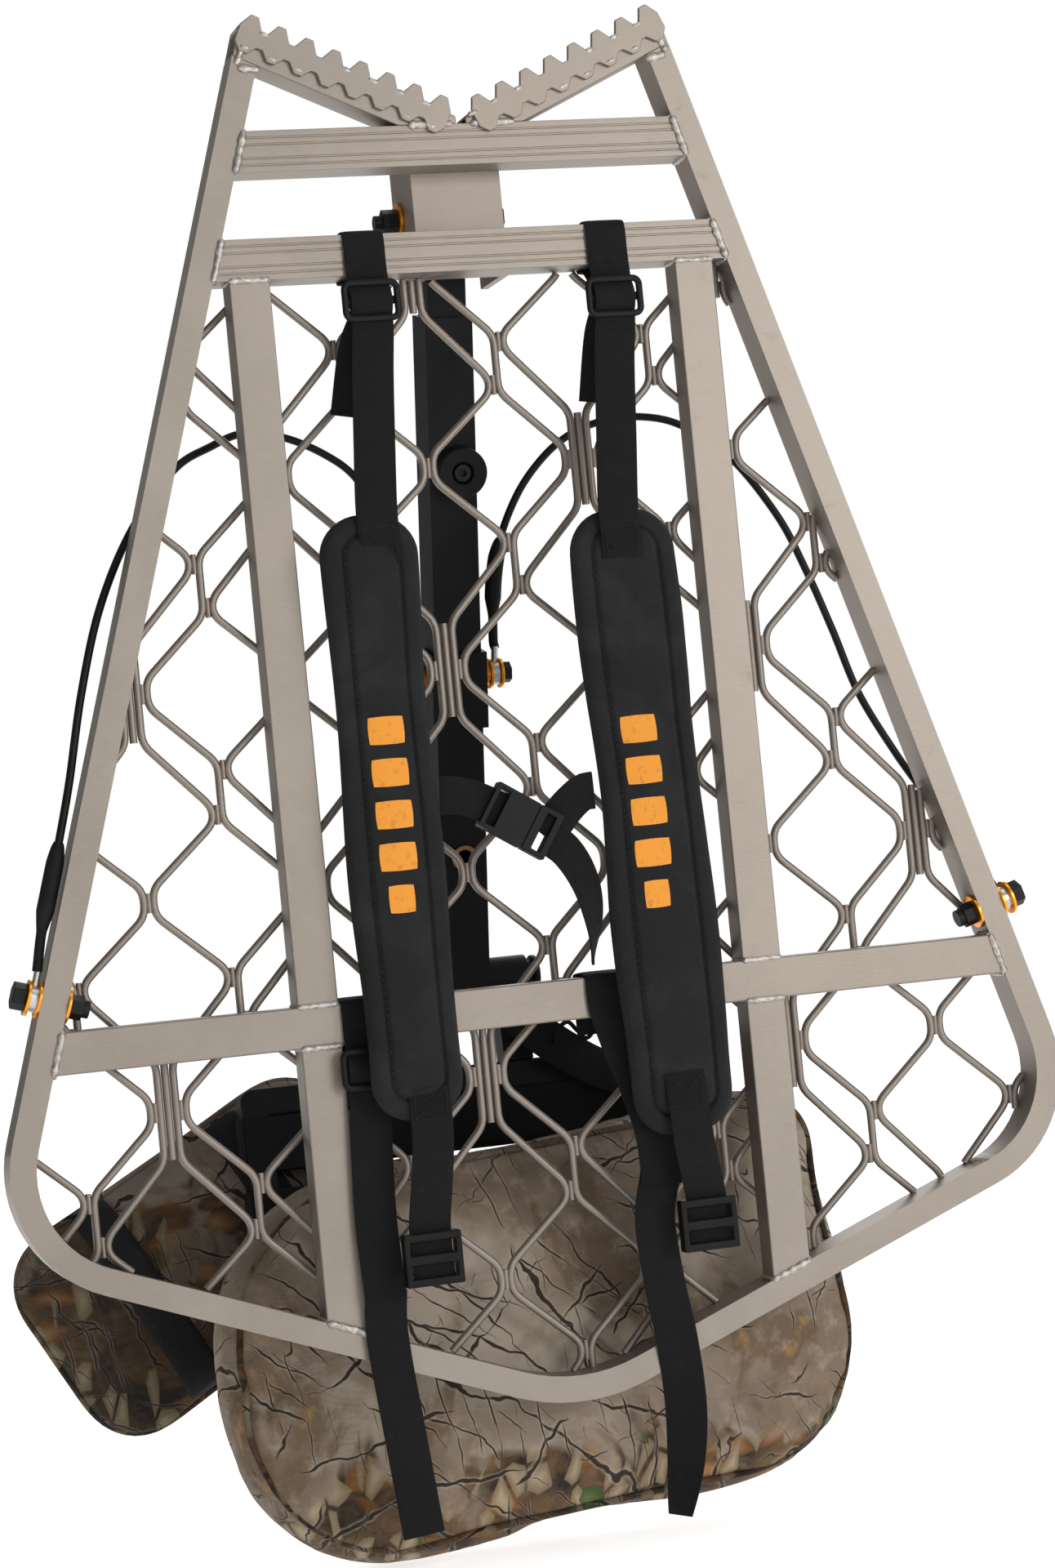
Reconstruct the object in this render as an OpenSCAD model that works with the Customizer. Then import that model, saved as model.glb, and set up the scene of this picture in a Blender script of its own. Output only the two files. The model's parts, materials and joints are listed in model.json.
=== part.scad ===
// Hang-on style tree stand, folded for carrying, with a backpack harness on its underside.
// X is to the right, Y is to the back (top side of the platform), Z is up towards the tree end.
// The origin is the middle of the tree notch. All sizes are in millimetres.

/* [Platform frame] */
// Half width over the rails, measured 600 mm above the wide crossbar
rail_top_half = 138; // [115:1:165]
// Angle of each rail from the centre line, in degrees
rail_angle = 16.8; // [12:0.1:20]
// Angle of the front bar from square, in degrees
front_angle = 20.8; // [14:0.1:26]
// Distance from the wide crossbar to the point where the front bar lines meet
front_reach = 254; // [200:1:310]
// Outside bend radius at the two wide corners
corner_r = 77; // [60:1:100]
// Outside bend radius at the middle of the front bar
apex_r = 120; // [80:1:160]
// Face width of the rail tube
rail_w = 16; // [12:0.5:22]
// Depth of the rail tube
rail_d = 25.4; // [20:0.2:32]
// Wall of the frame tubes
wall = 2; // [1.5:0.1:3]
// Height of the crossbars and width of the stringers
bar_h = 25.4; // [20:0.2:32]
// Depth of the plain bars below the deck
bar_d = 20; // [16:0.5:22]
// Distance from the middle to each stringer
stringer_x = 143; // [120:1:165]
// Height of the second ribbed crossbar above the wide one
bar2_z = 467; // [400:1:520]
// Height of the top ribbed crossbar above the wide one
bar1_z = 533; // [470:1:560]

/* [Tree notch] */
// Slope of each notch arm, in degrees
notch_angle = 24.8; // [15:0.1:35]
// Height of the tooth tips at the middle, above the wide crossbar
notch_tip_z = 558; // [520:1:600]
// Height of the notch arm tube
arm_h = 20; // [15:0.5:26]
// Height of one tooth
tooth_h = 8; // [4:0.5:12]
// Teeth on each arm
tooth_n = 8; // [5:1:10]
// Thickness of the tooth plates
tooth_t = 3; // [2:0.5:5]

/* [Deck] */
// Distance between strand columns
cell_w = 100; // [80:1:125]
// Distance between strand rows
cell_h = 126; // [100:1:150]
// Width of one strand
strand_w = 4.4; // [3:0.1:6]
// Thickness of the deck
deck_t = 5; // [3:0.2:6]
// Length of a long splice
splice_l = 60; // [40:1:70]

/* [Post and seat] */
// Distance from the post hinge to the seat hinge
post_l = 500; // [430:1:560]
// Width of the post tube
post_w = 31; // [28:1:40]
// Sideways offset of the post from the middle
post_x = -3; // [-5:1:5]
// Angle of the folded post from the platform, in degrees
post_angle = 14.4; // [13:0.1:20]
// Diameter of the hinge bolt
pivot_d = 9.5; // [8:0.1:12]
// Diameter of the seat hinge bar
seat_bar_d = 19; // [16:0.5:22]
// Diameter of the socket in the front of the post
socket_d = 11; // [8:0.5:12]
// Running clearance on the radius of a hinge
run_gap = 0.05; // [0.01:0.01:0.1]
// Seat width over the cushion
seat_w = 405; // [360:1:440]
// Seat depth along the cushion
seat_l = 243; // [210:1:280]
// Seat cushion thickness
seat_t = 85; // [60:1:100]
// Angle of the folded seat towards the platform, in degrees
seat_angle = 7.6; // [4:0.1:10]

/* [Cables] */
// Diameter of the coated cable
cable_d = 5; // [4:0.1:6]
// Diameter of the rail bolts
bolt_d = 8; // [6:0.5:10]
// Height of the rail bolts above the wide crossbar
bolt_z = 33; // [28:1:60]
// Distance from the front face of the frame to the rail bolts
bolt_y = 8.8; // [8:0.2:9.2]
// Distance from the post hinge to the cable bolt
cable_s = 294; // [250:1:340]

/* [Harness] */
// Webbing width
web_w = 26; // [20:1:38]
// Webbing thickness
web_t = 1.8; // [1.2:0.1:2.5]
// Width of the wider shoulder pad
pad_w = 66; // [60:1:80]
// Length of the longer shoulder pad
pad_l = 386; // [340:1:420]
// Shoulder pad thickness
pad_t = 13; // [8:1:20]

/* [Hidden] */

ca = cos(rail_angle);
sa = sin(rail_angle);
cb = cos(front_angle);
sb = sin(front_angle);
// Signed distances of the outer rail line and the outer front line from the local origin
line_a = rail_top_half * ca + 600 * sa;
line_b = front_reach * cb;
notch_z = notch_tip_z - tooth_h / cos(notch_angle);
gap = 0.3;
deck_y = bar_d;
deck_top = bar2_z - bar_h / 2 - gap;
pivot_y = 60;
pivot_z = bar2_z + 30;
cord_sides = 10;
alu = [0.72, 0.69, 0.64];
black = [0.06, 0.06, 0.06];
orange = [0.9, 0.5, 0.1];
camo = [0.45, 0.4, 0.3];
steel = [0.7, 0.7, 0.72];

// Half width of the frame at height z, d inside the outer face of the rail
function half_at(z, d) = (line_a - d - z * sa) / ca;
// Centre of the wide corner bend, and of the bend in the middle of the front bar
function corner_c() =
    let (r1 = line_a - corner_r, r2 = line_b - corner_r, q = cos(rail_angle - front_angle))
    [(cb * r1 + sa * r2) / q, (sb * r1 - ca * r2) / q];
function apex_c() = [0, -front_reach + apex_r / cb];

// Places everything with the tree notch at the origin
module stand() {
    translate([0, -rail_d / 2, -notch_z]) children();
}

// Pushes a flat XZ drawing back from y0 over a depth
module plate_y(y0, depth) {
    translate([0, y0 + depth, 0]) rotate([90, 0, 0]) linear_extrude(height = depth) children();
}

// The area inside the rail loop, d inside its outer face, open upwards to z1
module inside(d, z1) {
    c = corner_c();
    a = apex_c();
    ta = [c[0] + (corner_r - d) * ca, c[1] + (corner_r - d) * sa];
    tb = [c[0] + (corner_r - d) * sb, c[1] - (corner_r - d) * cb];
    tm = [a[0] + (apex_r - d) * sb, a[1] - (apex_r - d) * cb];
    x1 = half_at(z1, d);
    union() {
        polygon([[x1, z1], [-x1, z1], [-ta[0], ta[1]], [-c[0], c[1]], [-tb[0], tb[1]],
                 [-tm[0], tm[1]], a, tm, tb, c, ta]);
        translate(c) circle(r = corner_r - d, $fn = 96);
        translate([-c[0], c[1]]) circle(r = corner_r - d, $fn = 96);
        translate(a) circle(r = apex_r - d, $fn = 96);
    }
}

// Everything above the underside of the notch arms
module above_arm_underside(side) {
    z0 = notch_z - arm_h / cos(notch_angle);
    translate([0, -5, z0]) mirror([side < 0 ? 1 : 0, 0, 0]) rotate([0, -notch_angle, 0])
        translate([-30, 0, 0]) cube([260, rail_d + 10, 120]);
}

// Section of the rail tube; its outer face is at x = 0 and the tube lies towards +x
module rail_section() {
    difference() {
        square([rail_w, rail_d]);
        translate([wall, wall]) square([rail_w - 2 * wall, rail_d - 2 * wall]);
    }
}

// Straight tube from point p of the outer face, in direction a, with its inside on the left
module rail_straight(p, a, length) {
    translate([p[0], p[1], 0]) rotate([0, 0, a]) rotate([90, 0, 90]) linear_extrude(height = length)
        rail_section();
}

// Bent tube about centre c, from angle a0 to angle a1
module rail_bend(c, r, a0, a1) {
    translate([c[0], c[1], 0]) rotate([0, 0, a0]) rotate_extrude(angle = a1 - a0, $fn = 96)
        translate([r, 0]) mirror([1, 0]) rail_section();
}

// One half of the loop, from the middle of the front bar to above the notch
module rail_half() {
    c = corner_c();
    a = apex_c();
    ta = c + corner_r * [ca, sa];
    tb = c + corner_r * [sb, -cb];
    tm = a + apex_r * [sb, -cb];
    rail_bend(a, apex_r, -90, -90 + front_angle);
    rail_straight(tm, front_angle, norm(tb - tm));
    rail_bend(c, corner_r, -90 + front_angle, rail_angle);
    rail_straight(ta, 90 + rail_angle, (640 - ta[1]) / ca);
}

module rail() {
    color(alu) stand() difference() {
        translate([0, rail_d, 0]) rotate([90, 0, 0]) {
            rail_half();
            mirror([1, 0, 0]) rail_half();
        }
        above_arm_underside(1);
        above_arm_underside(-1);
        rail_hole(1);
        rail_hole(-1);
    }
}

// Stands on the outer face of a rail at the bolt, with local +X pointing out of the frame
module at_rail_bolt(side) {
    mirror([side < 0 ? 1 : 0, 0, 0])
        translate([half_at(bolt_z, 0), bolt_y, bolt_z]) rotate([0, -rail_angle, 0]) children();
}

module along_x(x0, x1, d, f = 48) {
    translate([x0, 0, 0]) rotate([0, 90, 0]) cylinder(h = x1 - x0, d = d, $fn = f);
}

module rail_hole(side) {
    at_rail_bolt(side) along_x(-rail_w - 5, 5, bolt_d);
}

// Section of a ribbed bar: plain tube with four shallow grooves on the front and the back
module ribbed_section() {
    difference() {
        translate([0, -bar_h / 2]) square([rail_d, bar_h]);
        translate([wall, -bar_h / 2 + wall]) square([rail_d - 2 * wall, bar_h - 2 * wall]);
        for (k = [-2, -1, 1, 2]) {
            translate([-0.1, k * 4.2 - 0.6]) square([0.7, 1.2]);
            translate([rail_d - 0.6, k * 4.2 - 0.6]) square([0.7, 1.2]);
        }
    }
}

module ribbed_bar(z) {
    intersection() {
        translate([-250, 0, z]) rotate([90, 0, 90]) linear_extrude(height = 500) ribbed_section();
        plate_y(-1, rail_d + 2) polygon([[-half_at(z - 20, rail_w), z - 20], [half_at(z - 20, rail_w), z - 20],
                                         [half_at(z + 20, rail_w), z + 20], [-half_at(z + 20, rail_w), z + 20]]);
    }
}

module crossbar_top() {
    color(alu) stand() ribbed_bar(bar1_z);
}

module crossbar_second() {
    color(alu) stand() ribbed_bar(bar2_z);
}

module crossbar_wide() {
    h = bar_h / 2;
    color(alu) stand() difference() {
        plate_y(0, bar_d) polygon([[-half_at(-h, rail_w), -h], [half_at(-h, rail_w), -h],
                                   [half_at(h, rail_w), h], [-half_at(h, rail_w), h]]);
        translate([-400, wall, -h + wall]) cube([800, bar_d - 2 * wall, bar_h - 2 * wall]);
    }
}

// Plain stringer between two heights, cut to the frame where it meets the front bar
module stringer(side, z0, z1) {
    x0 = side * stringer_x;
    intersection() {
        difference() {
            translate([x0 - bar_h / 2, 0, z0]) cube([bar_h, bar_d, z1 - z0]);
            translate([x0 - bar_h / 2 + wall, wall, z0 - 1])
                cube([bar_h - 2 * wall, bar_d - 2 * wall, z1 - z0 + 2]);
        }
        plate_y(-1, bar_d + 2) inside(rail_w, 640);
    }
}

module stringer_upper_left() {
    color(alu) stand() stringer(-1, bar_h / 2, bar2_z - bar_h / 2);
}

module stringer_upper_right() {
    color(alu) stand() stringer(1, bar_h / 2, bar2_z - bar_h / 2);
}

module stringer_lower_left() {
    color(alu) stand() stringer(-1, -front_reach, -bar_h / 2);
}

module stringer_lower_right() {
    color(alu) stand() stringer(1, -front_reach, -bar_h / 2);
}

// Right notch arm in place; its end is cut to the outer face of the rail and to the top crossbar
module arm(side) {
    mirror([side < 0 ? 1 : 0, 0, 0]) intersection() {
        translate([0, 0, notch_z]) rotate([0, -notch_angle, 0]) difference() {
            translate([-20, 0, -arm_h]) cube([240, rail_d, arm_h]);
            translate([-21, wall, -arm_h + wall]) cube([242, rail_d - 2 * wall, arm_h - 2 * wall]);
        }
        plate_y(-1, rail_d + 2) polygon([[3, bar1_z + bar_h / 2], [half_at(bar1_z, 0), bar1_z + bar_h / 2],
                                         [half_at(bar1_z + bar_h / 2, 0), bar1_z + bar_h / 2],
                                         [half_at(660, 0), 660], [3, 660]]);
    }
}

module notch_arm_left() {
    color(alu) stand() arm(-1);
}

module notch_arm_right() {
    color(alu) stand() arm(1);
}

// Blunt teeth along local X; the lower edge is cut to the same zigzag
function tooth_row(p, top, base) = [for (k = [0 : tooth_n - 1])
    for (q = [[0.10, base], [0.36, top], [0.64, top], [0.90, base]]) [(k + q[0]) * p, q[1]]];
function turned(v) = [for (k = [len(v) - 1 : -1 : 0]) v[k]];

module tooth_plate(side) {
    p = (half_at(notch_z + 55, 0) - 6) / cos(notch_angle) / tooth_n;
    h = 0.8 * arm_h;
    mirror([side < 0 ? 1 : 0, 0, 0]) translate([5, 0, notch_z + 2.3]) rotate([0, -notch_angle, 0])
        plate_y(-tooth_t, tooth_t)
            polygon(concat(tooth_row(p, tooth_h, 0), turned(tooth_row(p, -h, -h + 0.7 * tooth_h))));
}

module tooth_plate_left() {
    color(alu) stand() tooth_plate(-1);
}

module tooth_plate_right() {
    color(alu) stand() tooth_plate(1);
}

// Deck strands. Columns stand cell_w apart and rows cell_h apart. A column has a long splice where
// column and row numbers add up to an even number, and a short bond where they add up to an odd one.
deck_x0 = -36;
deck_z0 = 210;
bond = 8;
step_x = strand_w / 2 + 0.8;
function even(i, j) = (abs(i + j) % 2) == 0;
function col_x(i) = deck_x0 + i * cell_w;
function row_z(j) = deck_z0 + j * cell_h;
// Strand beside column i on side s: it runs along each splice and bond, and bows out to the middle strand
function side_strand(i, s) = [for (j = [-4 : 2]) let (e = even(i, j), x = col_x(i), z = row_z(j))
    for (q = [[e ? strand_w + 0.6 : step_x, e ? -splice_l / 2 : -bond],
              [e ? strand_w + 0.6 : step_x, e ? splice_l / 2 : bond],
              [cell_w / 2 - 2 * step_x, cell_h / 2 + (e ? 13.5 : -13.5) - 5],
              [cell_w / 2 - 2 * step_x, cell_h / 2 + (e ? 13.5 : -13.5) + 5]]) [x + s * q[0], z + q[1]]];
// Strand half way between columns i and i + 1: it touches the splices on both sides in turn
function mid_strand(i) = [for (j = [-4 : 2]) let (e = even(i, j), z = row_z(j),
    x = e ? col_x(i) + 2 * strand_w + 2 : col_x(i + 1) - 2 * strand_w - 2)
    for (q = [[x, -bond], [x, bond], [col_x(i) + cell_w / 2, cell_h / 2 - 18],
              [col_x(i) + cell_w / 2, cell_h / 2 + 18]]) [q[0], z + q[1]]];
function unit(v) = v / norm(v);
// Corner offset of a bent strip of width w at point k
function corner_off(v, k, w) =
    let (a = unit(v[min(k + 1, len(v) - 1)] - v[min(k, len(v) - 2)]),
         b = unit(v[max(k, 1)] - v[max(k - 1, 0)]),
         n = unit([-(a[1] + b[1]), a[0] + b[0]]))
    n * (w / 2 / (n * [-a[1], a[0]]));

module strip(v, w) {
    polygon(concat([for (k = [0 : len(v) - 1]) v[k] - corner_off(v, k, w)],
                   [for (k = [len(v) - 1 : -1 : 0]) v[k] + corner_off(v, k, w)]));
}

module deck_bonds(i) {
    for (j = [-4 : 2]) {
        even_here = even(i, j);
        web = even_here ? 2 * (2 * strand_w + 2) : 2 * step_x;
        translate([col_x(i) - web / 2, row_z(j) - 6]) square([web, 12]);
        if (even_here) translate([col_x(i) - strand_w / 2 - 0.8, row_z(j) - splice_l / 2 + 2])
            square([strand_w + 1.6, splice_l - 4]);
        for (s = [-1, 1]) {
            x = col_x(i) + cell_w / 2 + s * step_x;
            z = row_z(j) + cell_h / 2 + s * (even_here ? -13.5 : 13.5);
            translate([x - step_x, z - 6]) square([2 * step_x, 12]);
        }
    }
}

module deck() {
    color(alu) stand() plate_y(deck_y, deck_t) intersection() {
        inside(rail_w, 640);
        translate([-400, -300]) square([800, 300 + deck_top]);
        union() for (i = [-4 : 3]) {
            strip(side_strand(i, 1), strand_w);
            strip(side_strand(i, -1), strand_w);
            strip(mid_strand(i), strand_w);
            deck_bonds(i);
        }
    }
}

bracket_w = 58;
bracket_t = 5;
bracket_y1 = pivot_y + 14;

module post_bracket() {
    z0 = bar2_z - bar_h / 2;
    z1 = bar1_z + bar_h / 2;
    color(alu) stand() difference() {
        translate([-bracket_w / 2, rail_d, z0]) cube([bracket_w, bracket_y1 - rail_d, z1 - z0]);
        translate([-bracket_w / 2 + bracket_t, rail_d + 4, z0 - 1])
            cube([bracket_w - 2 * bracket_t, bracket_y1, z1 - z0 + 2]);
        translate([0, pivot_y, pivot_z]) along_x(-40, 40, pivot_d);
        translate([-40, bracket_y1 - 18, z1]) rotate([-30, 0, 0]) cube([80, 40, 40]);
    }
}

module rail_bolts() {
    color(black) stand() for (side = [-1, 1]) at_rail_bolt(side) {
        along_x(-rail_w - 12, 8.6, bolt_d);
        along_x(8.6, 17, 17, 6);
    }
}

module rail_washers() {
    color(orange) stand() for (side = [-1, 1]) at_rail_bolt(side) for (x = [0, 6.6, -rail_w - 2]) difference() {
        along_x(x, x + 2, 22);
        along_x(x - 1, x + 3, bolt_d);
    }
}

module rail_nuts() {
    color(black) stand() for (side = [-1, 1]) at_rail_bolt(side) {
        difference() {
            along_x(-rail_w - 10, -rail_w - 2, 15, 6);
            along_x(-rail_w - 11, -rail_w, bolt_d);
        }
        difference() {
            along_x(-rail_w - 14, -rail_w - 10, 11);
            along_x(-rail_w - 12, -rail_w - 9, bolt_d);
        }
    }
}

// Cable routes, from the rail bolt over the top of the arch and down to the post
route_left = [[-309, 8.8, 50], [-304, 9, 74], [-297, 9, 98], [-290, 10, 121], [-279, 12, 160],
              [-266, 16, 213], [-249, 22, 264], [-224, 31, 310], [-192, 42, 347], [-166, 50, 361],
              [-143, 58, 369], [-115, 67, 366], [-87, 78, 355], [-66, 88, 340], [-48, 100, 312],
              [-37, 112, 280], [-32, 121, 248], [-31.4, 128, 233]];
route_right = [[312, 19, 43], [310, 34, 56], [302, 54, 82], [291, 68, 108], [278, 80, 137],
               [257, 80, 177], [243, 80, 220], [228, 80, 262], [212, 80, 298], [184, 82, 338],
               [151, 84, 362], [120, 88, 369], [95, 92, 366], [76, 96, 358], [60, 100, 345],
               [45, 105, 326], [33, 112, 300], [27, 119, 272], [25.4, 128, 233]];
// Smooth point on a route between points k and k + 1
function spline(v, k, t) =
    let (a = v[max(k - 1, 0)], b = v[k], c = v[k + 1], d = v[min(k + 2, len(v) - 1)])
    0.5 * (2 * b + (c - a) * t + (2 * a - 5 * b + 4 * c - d) * t * t + (3 * b - a - 3 * c + d) * t * t * t);
function smooth(v, n) = concat([for (k = [0 : len(v) - 2]) for (m = [0 : n - 1]) spline(v, k, m / n)],
                               [v[len(v) - 1]]);
function ahead(v, k) = unit(v[min(k + 1, len(v) - 1)] - v[max(k - 1, 0)]);
// Round cord along a route
module cord(v, d) {
    n = len(v);
    pts = [for (k = [0 : n - 1]) let (t = ahead(v, k), u = unit(cross(t, [0, 1, 0.01])), w = cross(t, u))
        for (m = [0 : cord_sides - 1]) let (a = 360 * m / cord_sides)
            v[k] + (d / 2) * (cos(a) * u + sin(a) * w)];
    faces = concat([[for (m = [0 : cord_sides - 1]) m]],
        [for (k = [0 : n - 2]) for (m = [0 : cord_sides - 1]) let (q = (m + 1) % cord_sides)
            [k * cord_sides + m, (k + 1) * cord_sides + m, (k + 1) * cord_sides + q, k * cord_sides + q]],
        [[for (m = [cord_sides - 1 : -1 : 0]) (n - 1) * cord_sides + m]]);
    polyhedron(points = pts, faces = faces, convexity = 10);
}

module cable_left() {
    color(black) stand() cord(smooth(route_left, 4), cable_d);
}

module cable_right() {
    color(black) stand() cord(smooth(route_right, 4), cable_d);
}

// Steel eye on a bolt, with its barrel tilted back by an angle
module cable_eye(x, tilt) {
    difference() {
        union() {
            along_x(x, x + 4.4, 16);
            rotate([-tilt, 0, 0]) translate([x + 2.2, 0, 6]) cylinder(h = 13, d = 4.4, $fn = 32);
        }
        along_x(x - 1, x + 6, bolt_d + 2 * run_gap);
    }
}

module cable_ends() {
    color(steel) stand() {
        at_rail_bolt(1) cable_eye(2.1, 55);
        at_rail_bolt(-1) cable_eye(2.1, 0);
        on_post(cable_s) cable_eye(26.2, -8);
        on_post(cable_s) cable_eye(-30.6, -8);
    }
}

module pivot_bolt() {
    color(black) stand() translate([0, pivot_y, pivot_z]) {
        along_x(-46, bracket_w / 2 + 2.5, pivot_d);
        along_x(bracket_w / 2 + 2.5, bracket_w / 2 + 9, 17, 6);
        difference() {
            along_x(-bracket_w / 2 - 12, -bracket_w / 2 - 2.5, 17, 6);
            along_x(-60, 0, pivot_d);
        }
    }
}

module pivot_washers() {
    color(orange) stand() translate([0, pivot_y, pivot_z]) for (x = [-bracket_w / 2 - 2.5, bracket_w / 2]) {
        difference() {
            along_x(x, x + 2.5, 24);
            along_x(x - 1, x + 4, pivot_d);
        }
    }
}

wall_post = 3;
foot_w = post_w - 2 * wall_post;

// Stands on the post axis, s from the post hinge; local -Z runs down the folded post
module on_post(s) {
    translate([post_x, pivot_y, pivot_z]) rotate([post_angle, 0, 0]) translate([0, 0, -s]) children();
}

module post_foot() {
    color(black) stand() on_post(0) difference() {
        translate([-foot_w / 2, -foot_w / 2, -88]) cube([foot_w, foot_w, 104]);
        translate([-foot_w / 2 + wall, -foot_w / 2 + wall, -89])
            cube([foot_w - 2 * wall, foot_w - 2 * wall, 106]);
        along_x(-30, 30, pivot_d + 2 * run_gap);
    }
}

module post_spacers() {
    color(black) stand() on_post(0) for (side = [-1, 1]) {
        edge = bracket_w / 2 - bracket_t - 0.1;
        x0 = side > 0 ? foot_w / 2 : -edge - post_x;
        x1 = side > 0 ? edge - post_x : -foot_w / 2;
        difference() {
            along_x(x0, x1, 22);
            along_x(x0 - 1, x1 + 1, pivot_d + 2 * run_gap);
        }
    }
}

module post_tube() {
    color(black) stand() difference() {
        on_post(0) translate([-post_w / 2, -post_w / 2, -post_l - 16]) cube([post_w, post_w, post_l - 44]);
        on_post(0) translate([-foot_w / 2, -foot_w / 2, -post_l - 17])
            cube([foot_w, foot_w, post_l]);
        on_post(cable_s) along_x(-40, 40, bolt_d);
        on_post(post_l) along_x(-40, 40, seat_bar_d);
        on_post(412) translate([0, -post_w / 2 + wall_post + 1, 0]) rotate([90, 0, 0])
            cylinder(h = wall_post + 2, d = 14, $fn = 48);
    }
}

// Rubber bumper that keeps the folded post off the deck
module bumper() {
    color(black) stand() on_post(158) difference() {
        translate([3.5, -post_w / 2, 0]) rotate([90, 0, 0]) cylinder(h = 12, d1 = 34, d2 = 32, $fn = 64);
        translate([3.5, -post_w / 2 - 6, 0]) rotate([90, 0, 0]) cylinder(h = 10, d = 14, $fn = 48);
    }
}

module bumper_screw() {
    color(black) stand() on_post(158) difference() {
        translate([3.5, -post_w / 2 - 6, 0]) rotate([90, 0, 0]) cylinder(h = 5, d = 11, $fn = 48);
        translate([3.5, -post_w / 2 - 8, 0]) rotate([90, 0, 0]) cylinder(h = 5, d = 5, $fn = 6);
    }
}

// Channel over the front of the post that carries the cable bolt
module cable_bracket() {
    color(black) stand() difference() {
        on_post(cable_s) translate([-post_w / 2 - 3, -post_w / 2 - 3, -32]) cube([post_w + 6, post_w - 2, 50]);
        on_post(cable_s) translate([-post_w / 2, -post_w / 2, -33]) cube([post_w, post_w, 52]);
        on_post(cable_s) along_x(-40, 40, bolt_d);
    }
}

module cable_bolt() {
    color(black) stand() on_post(cable_s) {
        along_x(-40, 33, bolt_d);
        along_x(33, 39, 14, 6);
        difference() {
            along_x(-40, -33, 14, 6);
            along_x(-60, 0, bolt_d);
        }
    }
}

module cable_washers() {
    color(orange) stand() on_post(cable_s) for (x = [-33, 31, -26, 24]) difference() {
        along_x(x, x + 2, 20);
        along_x(x - 1, x + 3, bolt_d);
    }
    color(black) stand() on_post(cable_s) for (x = [-24, 18.6]) difference() {
        along_x(x, x + 5.4, 15);
        along_x(x - 1, x + 7, bolt_d);
    }
}

module post_bushing() {
    color([0.55, 0.38, 0.2]) stand() on_post(412) translate([0, -post_w / 2, 0]) rotate([90, 0, 0]) difference() {
        union() {
            cylinder(h = 2.5, d = 17, $fn = 48);
            translate([0, 0, -wall_post]) cylinder(h = wall_post + 1, d = 14, $fn = 48);
        }
        translate([0, 0, -10]) cylinder(h = 20, d = socket_d, $fn = 48);
    }
}

module seat_bar() {
    color(black) stand() on_post(post_l) {
        along_x(-48, 48, seat_bar_d);
        along_x(-52, -48, 25);
        along_x(48, 52, 25);
    }
}

// Stands on the seat hinge; local -Z runs down the folded seat, local -Y faces the platform
module on_seat() {
    translate([post_x, pivot_y, pivot_z]) rotate([post_angle, 0, 0]) translate([0, 0, -post_l])
        rotate([-post_angle - seat_angle, 0, 0]) children();
}

frame_x = 150;
frame_z0 = -66;
frame_z1 = -290;
tube = 19;

module seat_hubs() {
    color(black) stand() on_seat() for (side = [-1, 1]) {
        x0 = side > 0 ? post_w / 2 + 0.5 : -post_w / 2 - 28.5;
        difference() {
            union() {
                along_x(x0, x0 + 28, 27);
                translate([x0 + 4, -tube / 2, frame_z0 + tube / 2]) cube([20, tube, -frame_z0 - tube / 2]);
            }
            along_x(x0 - 1, x0 + 29, seat_bar_d + 2 * run_gap);
        }
    }
}

module seat_frame() {
    color(black) stand() on_seat() {
        for (side = [-1, 1]) translate([side * frame_x - tube / 2, -tube / 2, frame_z1])
            cube([tube, tube, frame_z0 - frame_z1]);
        for (z = [frame_z0, frame_z1]) {
            translate([-frame_x, -tube / 2, z - tube / 2]) cube([2 * frame_x, tube, tube]);
            for (side = [-1, 1]) translate([side * frame_x, tube / 2, z]) rotate([90, 0, 0])
                cylinder(h = tube, d = tube, $fn = 32);
        }
    }
}

// Webbing slung across the seat frame behind the cushion
module seat_webs() {
    color(black) stand() on_seat() for (z = [-93, -140, -188, -236]) difference() {
        translate([-frame_x - tube / 2 - web_t, -tube / 2 - web_t, z - 18])
            cube([2 * frame_x + tube + 2 * web_t, tube + 2 * web_t, 36]);
        translate([-frame_x - tube / 2, -tube / 2, z - 19]) cube([2 * frame_x + tube, tube, 38]);
    }
}

// Carrying strap from the hub to the seat frame, and the thin cord knotted to it
module seat_strap() {
    color(black) stand() webbing([[24, 158, -8], [36, 152, -24], [62, 152, -44], [84, 157, -56], [100, 161, -62]],
                                 [0.6, 0, 0.8]);
}

module seat_cord() {
    color(black) stand() cord(smooth([[47, 149.2, -34], [49, 147, -25], [56, 146, -20], [62, 146, -26], [68, 146, -32],
                                      [74, 146, -26], [75, 147, -14], [70, 148, -4], [60, 149, 0], [48, 150, -6],
                                      [39, 149, -18]], 3), 3);
}

// Outline of the seat cushion, in the plane of the seat
module seat_outline() {
    r1 = 100;
    r2 = 45;
    r3 = 110;
    x = seat_w / 2;
    z1 = -112;
    z0 = z1 - seat_l;
    union() {
        polygon([[x - r2, z1], [-x + r3, z1], [-x + r3, z1 - r3], [-x, z1 - r3], [-x, z0 + r1],
                 [-x + r1, z0 + r1], [-x + r1, z0], [x - r1, z0], [x - r1, z0 + r1], [x, z0 + r1],
                 [x, z1 - r2], [x - r2, z1 - r2]]);
        for (s = [-1, 1]) translate([s * (x - r1), z0 + r1]) circle(r = r1, $fn = 96);
        translate([x - r2, z1 - r2]) circle(r = r2, $fn = 96);
        translate([-x + r3, z1 - r3]) circle(r = r3, $fn = 96);
    }
}

module seat_cushion() {
    color(camo) stand() on_seat() plate_y(-tube / 2 - web_t - seat_t - gap, seat_t)
        translate([0, -200]) rotate(4.1) translate([0, 200]) seat_outline();
}

// Spare back pad, rolled in beside the seat cushion and held by two straps
module on_back_pad() {
    translate([-182, 34.5, -157]) rotate([0, -28, 0]) children();
}

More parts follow.
